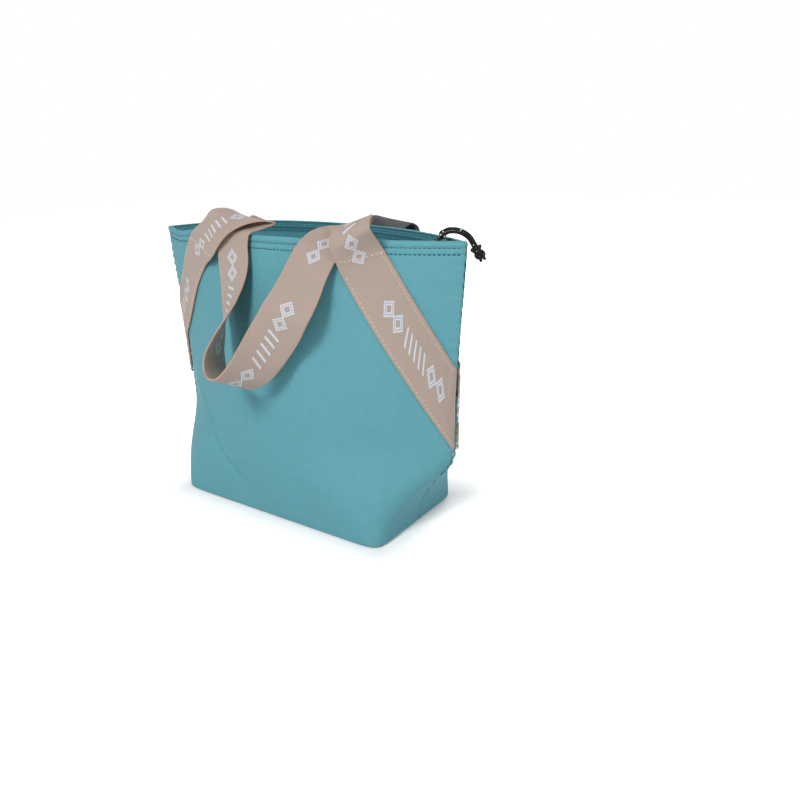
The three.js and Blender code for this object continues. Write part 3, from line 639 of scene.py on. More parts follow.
def panel_profile():
    """The panel from the base up its outside, over the rim's fold and down the facing: (height, depth)."""
    rounding = [(BASE_ROUNDING * (1 - math.cos(a)), BASE_ROUNDING * (1 - math.sin(a)))
                for a in np.linspace(0.25, math.pi / 2, 5)]
    wall = [(h, 0) for h in np.linspace(0.005, HEIGHT - 0.014, 92)]
    hem = [(h, 0) for h in np.linspace(HEIGHT - 0.0135, HEIGHT - 0.0004, 26)]
    fold = [(HEIGHT + RIM_FOLD * math.sin(a) * 0.8, RIM_FOLD * (1 - math.cos(a)))
            for a in np.linspace(0, math.pi, FOLD_STEPS + 2)[1:-1]]
    facing = [(h, FACING_DEPTH) for h in np.linspace(HEIGHT - 0.0006, FACING_TOP, 9)]
    return np.array(rounding + wall + hem + fold + facing + FACING_FACE)


profile = panel_profile()
profile_run = unit(np.gradient(profile, axis=0))
inner_profile = profile + np.stack([-profile_run[:, 1], profile_run[:, 0]], -1) * CLOTH_THICK
profile_length = np.concatenate([[0], np.cumsum(np.linalg.norm(np.diff(profile, axis=0), axis=1))])
panel_shares = np.sin(np.linspace(-1, 1, PANEL_COLUMNS + 1) * math.pi / 2 * PANEL_CROWDING)
panel_shares /= math.sin(math.pi / 2 * PANEL_CROWDING)

for side in ("front", "back"):
    grids = []
    for rows in (profile, inner_profile):
        heights, depths = rows[:, 0][:, None], rows[:, 1][:, None]
        grids.append(cloth_point(side, heights, panel_shares[None] * cloth_width(heights) / 2, depths))
    flat_across = panel_shares[None] * RIM_CLOTH_WIDTH / 2
    cloth_uv = np.stack(np.broadcast_arrays(flat_across, profile_length[:, None]), -1)
    shell = closed_sheet(f"shell_{side}", grids[0], grids[1], cloth_uv, shell_cloth, 60)
    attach(shell, "bag")
    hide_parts(f"outer_{side}_panel", f"rim_facing_{side}")

# A binding tape of the same cloth runs down each side seam on its inside. It laps a little onto both
# panels and closes the gap between them.
BINDING_REACH = 0.0050
BINDING_EDGE = 0.0012
BINDING_DEPTH = 0.0010
BINDING_THICK = 0.0005
BINDING_CLEARANCE = 0.0002

heights = np.linspace(0.0010, HEIGHT - 0.0004, 110)[:, None]
for name, way in (("left", -1), ("right", 1)):
    grids = []
    for depth in (BINDING_DEPTH, BINDING_DEPTH + BINDING_THICK):
        half = cloth_width(heights) / 2
        inset = np.linspace(BINDING_REACH, BINDING_EDGE, 4)[None]
        front = cloth_point("front", heights, way * (half - inset), depth)
        back = cloth_point("back", heights, way * (half - inset[:, ::-1]), depth)
        middle = (front[:, -1:] + back[:, :1]) / 2
        seam = cloth_point("front", heights, way * half, 0)
        middle[..., 0] = seam[..., 0] - way * (depth + BINDING_CLEARANCE)
        grids.append(np.concatenate([front, middle, back], axis=1))
    tape_uv = np.stack(np.broadcast_arrays(np.linspace(-1, 1, 9)[None] * BINDING_REACH, heights), -1)
    binding = closed_sheet(f"seam_binding_{name}", grids[0], grids[1], tape_uv, shell_cloth)
    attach(binding, "bag")

# The hem's stitching is two rows of dark teal thread round the rim, seen outside on the panels and
# inside on the facing. Each stitch is a short thread that dips into the cloth at both ends.
THREAD_TEAL = (0.010, 0.055, 0.075)
HEM_STITCH = 0.0027
HEM_STITCH_GAP = 0.0011
HEM_STITCH_MARGIN = 0.0025
# Each row's height and depth in the wall, the side it faces and the radius of its thread
SEAM_ROWS = (
    (HEIGHT - HEM_ROWS[0], 0, 1, 0.00027), (HEIGHT - HEM_ROWS[1], 0, 1, 0.00042),
    (0.2552, 0.0028, -1, 0.00045), (0.2494, 0.0038, -1, 0.00045), (0.2300, 0.0070, -1, 0.00036),
)


def thread_material(name, colour):
    """Twisted polyester thread with a slight gloss."""
    material, tree, shader = new_material(name, 0.5)
    place = tree.nodes.new("ShaderNodeTexCoord").outputs["Object"]
    mottle = placed_group(tree, mottle_group, Place=place, Size=0.0012, Contrast=1.6)["Factor"]
    paler = tuple(min(c * 1.4 + 0.01, 1) for c in colour)
    tree.links.new(mix_colours(tree, mottle, colour, paler), shader.inputs["Base Color"])
    shader.inputs["Specular IOR Level"].default_value = 0.2
    bumped(tree, shader, mottle, 0.0001)
    return material


def stitches(name, starts, ends, outs, radius, material):
    """Short threads between pairs of points; each rises a little at its middle, away from the cloth."""
    starts, ends = np.asarray(starts, dtype=float), np.asarray(ends, dtype=float)
    along = ends - starts
    lean = np.sum(unit(along) * outs, axis=-1, keepdims=True)
    up = unit(np.asarray(outs, dtype=float) - unit(along) * lean)
    aside = unit(np.cross(along, up))
    radius = np.broadcast_to(radius, len(starts))[:, None]
    # Each ring's share of the stitch's length and of its radius
    rings = [(0.06, 0.7), (0.25, 1), (0.75, 1), (0.94, 0.7)]
    angles = np.arange(6)[None, :, None] / 6 * 2 * math.pi
    parts = [(starts - up * radius * 0.4)[:, None]]
    for t, size in rings:
        centre = starts + along * t + up * radius * (size - 0.45)
        ring = up[:, None] * np.sin(angles) + aside[:, None] * np.cos(angles)
        parts.append(centre[:, None] + ring * radius[:, None] * size)
    parts.append((ends - up * radius * 0.4)[:, None])
    points = np.concatenate(parts, axis=1)
    one = [(0, 1 + (i + 1) % 6, 1 + i) for i in range(6)]
    for ring in range(3):
        for i in range(6):
            first, second = 1 + ring * 6 + i, 1 + ring * 6 + (i + 1) % 6
            one.append((first, second, second + 6, first + 6))
    one += [(19 + i, 19 + (i + 1) % 6, 25) for i in range(6)]
    count = points.shape[1]
    faces = [tuple(k * count + j for j in f[::-1]) for k in range(len(starts)) for f in one]
    return mesh_piece(name, points.reshape(-1, 3), faces, material, smooth_angle=80)


hem_thread = thread_material("dark_teal_thread", THREAD_TEAL)


def seam_row(side, height, depth, outwards, radius):
    """One row of stitches along the cloth, leaving the seams free."""
    half = float(cloth_width(height)) / 2 - HEM_STITCH_MARGIN
    marks = np.arange(-half, half - HEM_STITCH, HEM_STITCH + HEM_STITCH_GAP)
    starts = cloth_point(side, height, marks, depth)
    ends = cloth_point(side, height, marks + HEM_STITCH, depth)
    outs = outwards * (cloth_point(side, height, marks, depth - 0.001) - starts)
    return starts, ends, outs, np.full(len(marks), radius)


for side in ("front", "back"):
    rows = [seam_row(side, *row) for row in SEAM_ROWS]
    hem = stitches(f"hem_stitches_{side}", *(np.concatenate(v) for v in zip(*rows)), hem_thread)
    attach(hem, "bag")

# The base is a panel of the same cloth on a stiffening board, with foam and lining above it. The walls
# have foam and a smooth grey lining behind the cloth, and the lining hangs from under the facing.
BASE_INSET = 0.0021
BASE_ROWS = 28
FOAM_WHITE = (0.78, 0.77, 0.73)
FOAM_PALE = (0.86, 0.85, 0.82)
LINING_GREY = (0.50, 0.53, 0.54)
LINING_PALE = (0.58, 0.61, 0.62)
BOARD_GREY = (0.45, 0.44, 0.40)
BOARD_PALE = (0.54, 0.52, 0.48)
LINING_WAVE = 0.0007


def base_outline(inset):
    """The base's outline, as front and back edges of like points drawn in by an inset."""
    shares = np.sin(np.linspace(-1, 1, 81) * math.pi / 2)
    edge = looked_up(wall_table, np.zeros(81), shares * BASE_CLOTH_WIDTH / 2)
    edge = edge - looked_up(wall_normals, np.zeros(81), shares * BASE_CLOTH_WIDTH / 2) * inset
    edge[:, 0] = np.clip(edge[:, 0], edge[:, 0].min() + inset, edge[:, 0].max() - inset)
    edge[:, 1] = np.minimum(edge[:, 1], 0)
    return edge


def base_sheet(name, inset, bottom, thick, material, swell=0.0):
    """A flat closed sheet that fills the base, swollen a little at its middle where it is soft."""
    front = base_outline(inset)
    blend = np.linspace(0, 1, BASE_ROWS + 1)[:, None, None]
    under = front[None] * (1 - blend) + (front * (1, -1, 1))[None] * blend
    reach = np.abs(under / (front[:, :2].max(axis=0)[0], BASE_DEPTH / 2, 1))
    dome = np.clip(1 - reach[..., 0] ** 4, 0, 1) * np.clip(1 - reach[..., 1] ** 4, 0, 1)
    under[..., 2] = bottom
    top = under.copy()
    top[..., 2] = bottom + thick + swell * dome
    return closed_sheet(name, top, under, under[..., :2].copy(), material, 40)


def foam_material():
    """Closed-cell foam: white with small cells."""
    material, tree, shader = new_material("white_foam", 0.9)
    place = tree.nodes.new("ShaderNodeTexCoord").outputs["Object"]
    cells = tree.nodes.new("ShaderNodeTexVoronoi")
    cells.inputs["Scale"].default_value = 900
    tree.links.new(place, cells.inputs["Vector"])
    tone = placed_group(tree, mottle_group, Place=place, Size=0.02, Contrast=1.0)["Factor"]
    tree.links.new(mix_colours(tree, tone, FOAM_WHITE, FOAM_PALE), shader.inputs["Base Color"])
    bumped(tree, shader, cells.outputs["Distance"], 0.0003)
    return material


def lining_material():
    """Smooth film with fine crinkles that catch the light."""
    material, tree, shader = new_material("grey_lining_film", 0.34)
    across, up, place = cloth_place(tree)
    crinkle = placed_group(tree, mottle_group, Place=place, Size=0.009, Contrast=2.4)["Factor"]
    broad = placed_group(tree, mottle_group, Place=place, Size=0.05, Contrast=1.2)["Factor"]
    tree.links.new(mix_colours(tree, broad, LINING_GREY, LINING_PALE), shader.inputs["Base Color"])
    rough = math_node(tree, "ADD", math_node(tree, "MULTIPLY", crinkle, 0.25), 0.22)
    tree.links.new(rough, shader.inputs["Roughness"])
    bumped(tree, shader, crinkle, 0.0010)
    return material


def board_material():
    """Plain pressed stiffener with a faint grain."""
    material, tree, shader = new_material("pressed_board", 0.8)
    place = tree.nodes.new("ShaderNodeTexCoord").outputs["Object"]
    grain = placed_group(tree, mottle_group, Place=place, Size=0.003, Contrast=1.6)["Factor"]
    tree.links.new(mix_colours(tree, grain, BOARD_GREY, BOARD_PALE), shader.inputs["Base Color"])
    bumped(tree, shader, grain, 0.0002)
    return material


foam = foam_material()
lining = lining_material()
# Each sheet's name, node, inset, underside, thickness, material, slot and swell
for name, node, inset, bottom, thick, material, slot, swell in (
    ("base_cloth", "outer_base_panel", BASE_INSET, 0.0001, 0.0013, shell_cloth, "shell", 0),
    ("base_stiffener", "base_board", 0.0072, 0.0018, 0.0020, board_material(), "board", 0),
    ("base_foam", "foam_base", 0.0076, 0.0041, 0.0040, foam, "foam", 0),
    ("base_lining", "lining_base", 0.0086, 0.0084, 0.0008, lining, "lining", 0.0012),
):
    piece = base_sheet(name, inset, bottom, thick, material, swell)
    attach(piece, "bag")
    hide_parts(node)

# Each sheet's name, node, material, slot, lower and upper edge, depth into the wall and thickness
for side in ("front", "back"):
    for name, node, material, slot, low, high, depth, thick in (
        (f"foam_sheet_{side}", f"foam_{side}", foam, "foam", 0.0045, 0.2390, 0.0018, 0.0038),
        (f"lining_sheet_{side}", f"lining_{side}", lining, "lining", 0.0088, 0.2272, 0.0062, 0.0007),
    ):
        heights = np.linspace(low, high, 60)[:, None]
        shares = np.linspace(-1, 1, 121)[None]
        reach = cloth_width(heights) / 2
        wave = 0
        if slot == "lining":
            loose = np.clip((high - heights) / 0.03, 0, 1)
            wave = LINING_WAVE * np.sin(shares * 34 + 3 * np.sin(heights * 30)) * loose
        face = cloth_point(side, heights, shares * reach, depth + thick + wave)
        back = cloth_point(side, heights, shares * reach, depth)
        cloth_uv = np.stack(np.broadcast_arrays(shares * reach, heights), -1)
        piece = closed_sheet(name, face, back, cloth_uv, material)
        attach(piece, "bag")
        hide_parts(node)

# The zip is a coil on two teal tapes that are sewn under the rim and lean into the open mouth. Metal
# stops close its ends, and the slider is parked at the right.
# The tapes' dark teal is partly their own tone and partly painted shade of the mouth's inside.
TAPE_TEAL = (0.048, 0.185, 0.218)
TAPE_PALE = (0.070, 0.240, 0.280)
COIL_TEAL = (0.022, 0.100, 0.125)
# Places down the tape, as (height, depth into the wall)
TAPE_PROFILE = [(0.2538, 0.0034), (0.2515, 0.0034), (0.2490, 0.0034), (0.2462, 0.0064), (0.2442, 0.0086)]
COIL_HEIGHT = 0.2427
COIL_DEPTH = 0.0102
COIL_PITCH = 0.0017
COIL_REACH = 0.176
COIL_HALF_WIDTH = 0.0012
COIL_SLANT = 0.35
COIL_THREAD = 0.00072
TAPE_THICK = 0.0005
TAPE_SEAM_MARGIN = 0.003


def tape_material():
    """Woven zip tape: rib along its length, darker than the shell, partly its own tone and partly painted
    shade of the mouth.
    """
    material, tree, shader = new_material("teal_zip_tape", 0.75)
    across, up, place = cloth_place(tree)
    weave = placed_group(tree, weave_group, Across=across, Up=up, Thread=0.0007)["Height"]
    mottle = placed_group(tree, mottle_group, Place=place, Size=0.004, Contrast=1.3)["Factor"]
    tree.links.new(mix_colours(tree, mottle, TAPE_TEAL, TAPE_PALE), shader.inputs["Base Color"])
    shader.inputs["Specular IOR Level"].default_value = 0.12
    bumped(tree, shader, weave, 0.00012)
    return material


zip_tape = tape_material()
zip_coil = thread_material("dark_teal_coil", COIL_TEAL)
tape_rows = catmull_curve(TAPE_PROFILE, 4)
for side in ("front", "back"):
    shares = np.linspace(-1, 1, 141)[None]
    grids = []
    for lift in (TAPE_THICK, 0.0):
        heights, depths = tape_rows[:, 0][:, None], tape_rows[:, 1][:, None] + lift
        half = cloth_width(heights) / 2 - TAPE_SEAM_MARGIN
        grids.append(cloth_point(side, heights, shares * half, depths))
    cloth_uv = np.stack(np.broadcast_arrays(shares * RIM_CLOTH_WIDTH / 2, tape_rows[:, 0][:, None]), -1)
    tape = closed_sheet(f"zip_tape_{side}_cloth", grids[0], grids[1], cloth_uv, zip_tape)
    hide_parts(f"zip_tape_{side}")
    coil_low, coil_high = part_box(f"zip_chain_{side}")
    marks = np.arange(-COIL_REACH, COIL_REACH, COIL_PITCH / 4)
    course = cloth_point(side, COIL_HEIGHT, marks, COIL_DEPTH)
    kept = course[(course[:, 0] > coil_low[0]) & (course[:, 0] < coil_high[0])]
    run = np.concatenate([[0], np.cumsum(np.linalg.norm(np.diff(kept, axis=0), axis=1))])
    teeth = np.stack([np.interp(np.arange(0, run[-1], COIL_PITCH), run, kept[:, k]) for k in range(3)], -1)
    inward = np.array([0, 1 if side == "front" else -1, 0])
    slanted = np.gradient(teeth, axis=0) * COIL_SLANT
    tooth_starts = teeth - inward * COIL_HALF_WIDTH - slanted
    tooth_ends = teeth + inward * COIL_HALF_WIDTH + slanted
    upwards = np.tile((0, 0, 1.0), (len(teeth), 1))
    coil = stitches(f"zip_coil_{side}", tooth_starts, tooth_ends, upwards, COIL_THREAD, zip_coil)
    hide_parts(f"zip_chain_{side}")
    for piece in (tape, coil):
        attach(piece, "bag")

METAL_DARK = (0.028, 0.028, 0.032)
METAL_LIGHT = (0.050, 0.050, 0.056)
METAL_WORN = (0.30, 0.30, 0.31)
METAL_EDGE = 0.00025


def dark_metal():
    """Dark plated zip metal: satin, with paler wear on its edges."""
    material, tree, shader = new_material("dark_zip_metal", 0.36, 0.85)
    place = tree.nodes.new("ShaderNodeTexCoord").outputs["Object"]
    mottle = placed_group(tree, mottle_group, Place=place, Size=0.002, Contrast=1.5)["Factor"]
    wear = tree.nodes.new("ShaderNodeNewGeometry").outputs["Pointiness"]
    edge = math_node(tree, "MULTIPLY", math_node(tree, "SUBTRACT", wear, 0.52), 6.0)
    edge = math_node(tree, "MINIMUM", math_node(tree, "MAXIMUM", edge, 0.0), 0.6)
    plated = mix_colours(tree, mottle, METAL_DARK, METAL_LIGHT)
    tree.links.new(mix_colours(tree, edge, plated, METAL_WORN), shader.inputs["Base Color"])
    rough = math_node(tree, "ADD", math_node(tree, "MULTIPLY", mottle, 0.2), 0.26)
    tree.links.new(rough, shader.inputs["Roughness"])
    bumped(tree, shader, mottle, 0.00005)
    return material


zip_metal = dark_metal()
for node in ("zip_slider", "zip_puller", "zip_stop_left", "zip_stop_right"):
    metal_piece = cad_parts[node]
    metal_piece.data.materials.clear()
    metal_piece.data.materials.append(zip_metal)
    rounded = metal_piece.modifiers.new("rounded_edges", "BEVEL")
    rounded.width = METAL_EDGE
    rounded.segments = 2
    rounded.limit_method = "ANGLE"
    rounded.angle_limit = math.radians(40)

# Each handle is one beige twill webbing. Its ends are sewn on at a slant down to the side seams, and its
# free middle rises over the rim, hangs in front as a twisted loop and comes back up.
STRAP_WIDTH = 0.040
STRAP_THICK = 0.0016
# How far the webbing's middle lies off the cloth, and how far above its stitching a sewn end begins
SEWN_OFF = 0.0014
JOIN_GAP = 0.0009
# How far below the rim the stitching starts, and how far from the side seam it ends
STITCH_DROP = 0.013
STRAP_SEAM_MARGIN = 0.0015
# Each sewn end's side, where it starts along the cloth from the panel's middle, and how it slants
LEGS = {
    "right": {"side": 1, "offset": 0.100, "lean": math.radians(32)},
    "left": {"side": -1, "offset": 0.085, "lean": math.radians(40)},
}
STRAP_SHARES = np.array([-1, -0.975, -0.93, -0.82, -0.55, -0.27, 0, 0.27, 0.55, 0.82, 0.93, 0.975, 1])
STRAP_MIDDLE = len(STRAP_SHARES) // 2
# Places of the free webbing in millimetres from the middle of the front rim: x, y, z, then the turn and
# the tilt of its width in degrees, and how much of its width it keeps where it is cupped
ARC_LEFT = [
    (-71, 1, -10, -30, -46, 1), (-60.5, 0, -2.5, -34, -46, 1), (-51, -1, 5.5, -37, -43, 1),
    (-42, 2, 11, -40, -29, 1), (-32, 8, 14, -33, -14, 1), (-22.5, 14, 13.5, -16, -4, 1),
    (-17, 17.5, 9.5, 4, 0, 1),
]
GRIP = [
    (-22, 8, 6, 2, 0, 1), (-27, -1, 2.5, -4, 2, 1), (-27, -5, -8, -5, 5, 1), (-24, -9, -22, -5, 8, 1),
    (-21, -15, -38, -12, 12, 1), (-19, -24, -56, -26, 18, 1), (-18, -33, -72, -42, 26, 1),
    (-17, -43, -87, -56, 32, 1), (-12, -52, -101, -74, 32, 1), (-1, -56, -111, -88, 26, 1),
    (12, -57, -112, -92, 28, 1), (24, -53, -104, -102, 37, 1), (32, -46, -92, -119, 41, 1),
    (38, -37, -78, -138, 38, 1), (46, -33, -65, -153, 33, 1), (53, -32, -54, -163, 28, 1),
    (57, -26, -44, -170, 25, 1), (59, -18, -33, -174, 22, 1), (60, -9, -21, -175, 19, 0.97),
    (64, -1.5, -9, -170, 18, 0.93), (73, 2, 0, -164, 17, 0.92),
]
ARC_RIGHT = [
    (82, 5, 7, -166, 9, 0.94), (92, 7, 13, -170, -4, 0.97), (97.5, 4, 15.5, -172, -19, 1),
    (99.5, -2, 11, -172, -24, 1), (101, -3, 2, -172, -27, 1),
]
# The back handle folds over below the rim at its left end, and its slack hangs lower. Its right end is
# moved by a step in x, y and z and tilted further, with the same turn and width
BACK_ARC_LEFT = [
    (-81, 4.5, -8.5, -20, -38, 1), (-77.5, -0.5, -5.5, -30, -30, 1), (-74.5, -6.5, -5, -37, -17, 1),
    (-71.5, -12, -8, -38, -1, 1), (-68.5, -15, -14, -32, 15, 1),
]
BACK_GRIP_LEFT = [
    (-66, -16, -21, -24, 26, 1), (-62.5, -15.5, -32, -19, 31, 1), (-57.5, -16.5, -45, -19, 32, 1),
    (-51, -19.5, -61, -24, 31, 1), (-44, -25, -78, -33, 31, 1), (-36.5, -33, -95, -45, 32, 1),
    (-28, -42, -111, -58, 32, 1), (-18, -50, -124, -71, 30, 1), (-9, -54.5, -132.5, -81, 28, 1),
]
BACK_ARC_RIGHT = [
    (56, -2, -3, -166, 23, 0.94), (65, 0, 3, -170, 16, 0.97), (70.5, -3, 5.5, -172, 6, 1),
    (73.5, -9, 1, -172, 0, 1), (76, -10, -9, -172, -10, 1),
]
BACK_STEP = np.array([-24, -7, -11, 0, 10, 0])
BACK_DROP = 28
# Over how many of the grip's last stations the step comes in, and the drop fades out
MOVED_STATIONS = 8
FADING_STATIONS = 9
SPAN_SAMPLES = 7
SEWN_ROWS = 56
# Shares down a sewn end of the two rows that steer the free webbing's curve at its ends
GUIDE_ROWS = (0.0, 0.09)


def sewn_point(side, leg, across, run, off):
    """A place on a sewn leg: across its width, down it from the stitching, and off the wall."""
    ds, dz = leg["side"] * math.sin(leg["lean"]), -math.cos(leg["lean"])
    s = leg["side"] * (leg["offset"] - dz * across) + ds * run
    return cloth_point(side, HEIGHT - STITCH_DROP + leg["side"] * ds * across + dz * run, s, -off)


def sewn_length(leg, across):
    """How far a sewn leg runs from the stitching to the side seam, at a place across it."""
    ds, dz = leg["side"] * math.sin(leg["lean"]), -math.cos(leg["lean"])
    length = np.zeros_like(across)
    for _ in range(6):
        height = HEIGHT - STITCH_DROP + leg["side"] * ds * across + dz * length
        length = (cloth_width(height) / 2 - STRAP_SEAM_MARGIN - leg["offset"] + dz * across) / abs(ds)
    return length


def sewn_rows(side, leg, runs):
    """Rows of points across a sewn leg, at shares of its length from the stitching to the side seam."""
    across = -STRAP_SHARES * STRAP_WIDTH / 2
    share = np.asarray(runs)[:, None]
    run = share * sewn_length(leg, across)[None] - JOIN_GAP * (1 - share)
    return sewn_point(side, leg, across[None], run, SEWN_OFF)


def free_stations(side):
    """The places of one handle's free webbing: its left arc, its grip and its right arc."""
    if side == "front":
        return [np.array(part, dtype=float) for part in (ARC_LEFT, GRIP, ARC_RIGHT)]
    kept = np.array(GRIP[len(BACK_GRIP_LEFT):], dtype=float)
    left = np.arange(len(kept))[::-1, None]
    kept += np.clip(1 - left / (MOVED_STATIONS - 1), 0, 1) * BACK_STEP
    kept[:, 2:3] -= BACK_DROP * np.clip(left / FADING_STATIONS, 0, 1)
    return [np.array(BACK_ARC_LEFT, dtype=float), np.vstack([BACK_GRIP_LEFT, kept]), np.array(BACK_ARC_RIGHT)]


def pointed(turn, tilt):
    """Directions of length one: the turn about the upright and the tilt from level, in radians."""
    return np.stack([np.cos(tilt) * np.cos(turn), np.cos(tilt) * np.sin(turn), np.sin(tilt)], -1)


def free_rows(side):
    """Rows of points across the free webbing, from the left stitching to the right one."""
    stations = np.vstack(free_stations(side))
    places = stations[:, :3] / 1000 + (0, -MOUTH_GAP / 2, HEIGHT)
    facings = stations[:, 3:] * (1, 1, 100)
    for leg in ("left", "right"):
        for row in sewn_rows("front", LEGS[leg], GUIDE_ROWS):
            width = row[-1] - row[0]
            length = np.linalg.norm(width)
            turn = math.degrees(math.atan2(width[1], width[0]))
            facing = [turn, math.degrees(math.asin(width[2] / length)), 100 * length / STRAP_WIDTH]
            middle = row[STRAP_MIDDLE]
            places = np.vstack([middle, places] if leg == "left" else [places, middle])
            facings = np.vstack([facing, facings] if leg == "left" else [facings, facing])
    centres = catmull_curve(places, SPAN_SAMPLES)[SPAN_SAMPLES:-SPAN_SAMPLES]
    turned = catmull_curve(facings, SPAN_SAMPLES, centripetal=False)[SPAN_SAMPLES:-SPAN_SAMPLES]
    across = pointed(np.radians(turned[:, 0]), np.radians(turned[:, 1]))
    reach = STRAP_WIDTH / 2 * turned[:, 2] / 100
    rows = centres[:, None] + across[:, None] * (STRAP_SHARES[None] * reach[:, None])[..., None]
    if side == "back":
        rows[..., 1] *= -1
    return rows


# The woven motif repeats along the webbing: outlined diamonds in pairs, with slanted bars between them
TWILL_PITCH = 0.0017
WEBBING_DARK = (0.480, 0.378, 0.318)
WEBBING_LIGHT = (0.580, 0.468, 0.402)
# The twill's dark diagonal lines: partly the yarn's own tone, partly painted shade of the ribs' grooves.
WEBBING_RIB_SHADE = (0.285, 0.212, 0.170)
SELVEDGE = (0.60, 0.37, 0.27)
SELVEDGE_WIDTH = 0.0006
MOTIF_PALE = (0.70, 0.73, 0.79)
MOTIF_GREY = (0.50, 0.51, 0.54)
MOTIF_PERIOD = 0.128
MOTIF_HALF_HEIGHT = 0.0072
DIAMOND_HALF_LENGTH = 0.0075
DIAMOND_PLACES = (0.016, 0.030, 0.082, 0.096)
# Where a diamond's outline ends inwards and where its inner line runs, as shares from its middle
DIAMOND_HOLLOW = 0.42
DIAMOND_CORE = 0.71
MOTIF_LINE = 0.16
BAR_PLACES = (0.043, 0.0497, 0.0564, 0.0631, 0.0698)
BAR_HALF_WIDTH = 0.0011
BAR_LEAN = 0.35
BAR_REACH = 0.8

motif_group, motif_in, motif_out = new_group(
    "diamonds_and_bars",
    [("Along", "NodeSocketFloat"), ("Across", "NodeSocketFloat")],
    [("Outline", "NodeSocketFloat"), ("Inline", "NodeSocketFloat")],
)
motif_place = math_node(motif_group, "MULTIPLY", math_node(
    motif_group, "FRACT", math_node(motif_group, "DIVIDE", motif_in["Along"], MOTIF_PERIOD)), MOTIF_PERIOD)
motif_height = math_node(motif_group, "ABSOLUTE", motif_in["Across"])
outline_masks, inline_masks = [], []
for centre in DIAMOND_PLACES:
    off = math_node(motif_group, "ABSOLUTE", math_node(motif_group, "SUBTRACT", motif_place, centre))
    diamond = math_node(motif_group, "ADD", math_node(motif_group, "DIVIDE", off, DIAMOND_HALF_LENGTH),
                        math_node(motif_group, "DIVIDE", motif_height, MOTIF_HALF_HEIGHT))
    inside = math_node(motif_group, "LESS_THAN", diamond, 1.0)
    hollow = math_node(motif_group, "LESS_THAN", diamond, DIAMOND_HOLLOW)
    core = math_node(motif_group, "COMPARE", diamond, DIAMOND_CORE, MOTIF_LINE / 2)
    solid = math_node(motif_group, "SUBTRACT", inside, hollow)
    outline_masks.append(math_node(motif_group, "SUBTRACT", solid, core))
    inline_masks.append(core)
for centre in BAR_PLACES:
    lean = math_node(motif_group, "MULTIPLY", motif_in["Across"], BAR_LEAN)
    off = math_node(motif_group, "SUBTRACT", math_node(motif_group, "SUBTRACT", motif_place, centre), lean)
    narrow = math_node(motif_group, "COMPARE", off, 0.0, BAR_HALF_WIDTH)
    short = math_node(motif_group, "LESS_THAN", motif_height, MOTIF_HALF_HEIGHT * BAR_REACH)
    outline_masks.append(math_node(motif_group, "MULTIPLY", narrow, short))
for masks, socket in ((outline_masks, motif_out["Outline"]), (inline_masks, motif_out["Inline"])):
    total = masks[0]
    for mask in masks[1:]:
        total = math_node(motif_group, "MAXIMUM", total, mask)
    motif_group.links.new(total, socket)


def twill_webbing():
    """Beige twill with a paler selvedge and a woven motif of outlined diamonds and slanted bars."""
    material, tree, shader = new_material("beige_twill_webbing", 0.72)
    along, across, place = cloth_place(tree)
    turn = math_node(tree, "MULTIPLY", math_node(tree, "ADD", along, across), 2 * math.pi / TWILL_PITCH)
    rib = math_node(tree, "SINE", turn)
    thread = placed_group(tree, weave_group, Across=along, Up=across, Thread=0.0006)["Height"]
    mottle = placed_group(tree, mottle_group, Place=place, Size=0.006, Contrast=1.3)["Factor"]
    yarn = placed_group(tree, mottle_group, Place=place, Size=0.0015, Contrast=2.4)["Factor"]
    ground = mix_colours(tree, mottle, WEBBING_DARK, WEBBING_LIGHT)
    # The rib lines darken the colour: partly yarn tone, partly painted shade of the grooves.
    ground = mix_colours(tree, weighted_sum(tree, (rib, 0.20), (yarn, 0.50)), ground, WEBBING_RIB_SHADE)
    motif = placed_group(tree, motif_group, Along=along, Across=across)
    ground = mix_colours(tree, motif["Inline"], ground, MOTIF_GREY)
    ground = mix_colours(tree, motif["Outline"], ground, MOTIF_PALE)
    off_middle = math_node(tree, "ABSOLUTE", across)
    edge = math_node(tree, "GREATER_THAN", off_middle, STRAP_WIDTH / 2 - SELVEDGE_WIDTH)
    ground = mix_colours(tree, edge, ground, SELVEDGE)
    tree.links.new(ground, shader.inputs["Base Color"])
    shader.inputs["Sheen Weight"].default_value = 0.2
    shader.inputs["Specular IOR Level"].default_value = 0.3
    height = weighted_sum(tree, (yarn, 1.4), (thread, 0.3), (motif["Outline"], 1.0))
    bumped(tree, shader, height, 0.00020)
    return material


webbing = twill_webbing()

# Painted shade: the back handle's right arc is coloured dark grey because it lies in shade.
ARC_SHADE_DARK = (0.065, 0.068, 0.076)
ARC_SHADE_LIGHT = (0.150, 0.150, 0.156)


def painted_shade_webbing():
    """Dark grey webbing that paints the shade on the back handle's right arc; the real webbing is beige on
    both faces.
    """
    material, tree, shader = new_material("grey_webbing_painted_shade", 0.8)
    along, across, place = cloth_place(tree)
    thread = placed_group(tree, weave_group, Across=along, Up=across, Thread=0.0008)["Height"]
    mottle = placed_group(tree, mottle_group, Place=place, Size=0.0015, Contrast=2.0)["Factor"]
    tree.links.new(mix_colours(tree, mottle, ARC_SHADE_DARK, ARC_SHADE_LIGHT), shader.inputs["Base Color"])
    shader.inputs["Specular IOR Level"].default_value = 0.2
    bumped(tree, shader, math_node(tree, "ADD", mottle, thread), 0.0001)
    return material


arc_shade_webbing = painted_shade_webbing()

# The webbing thins towards its edges: where that starts, over what share of the width, and how far
EDGE_START = 0.93
EDGE_REACH = 0.085
EDGE_THIN = 0.12


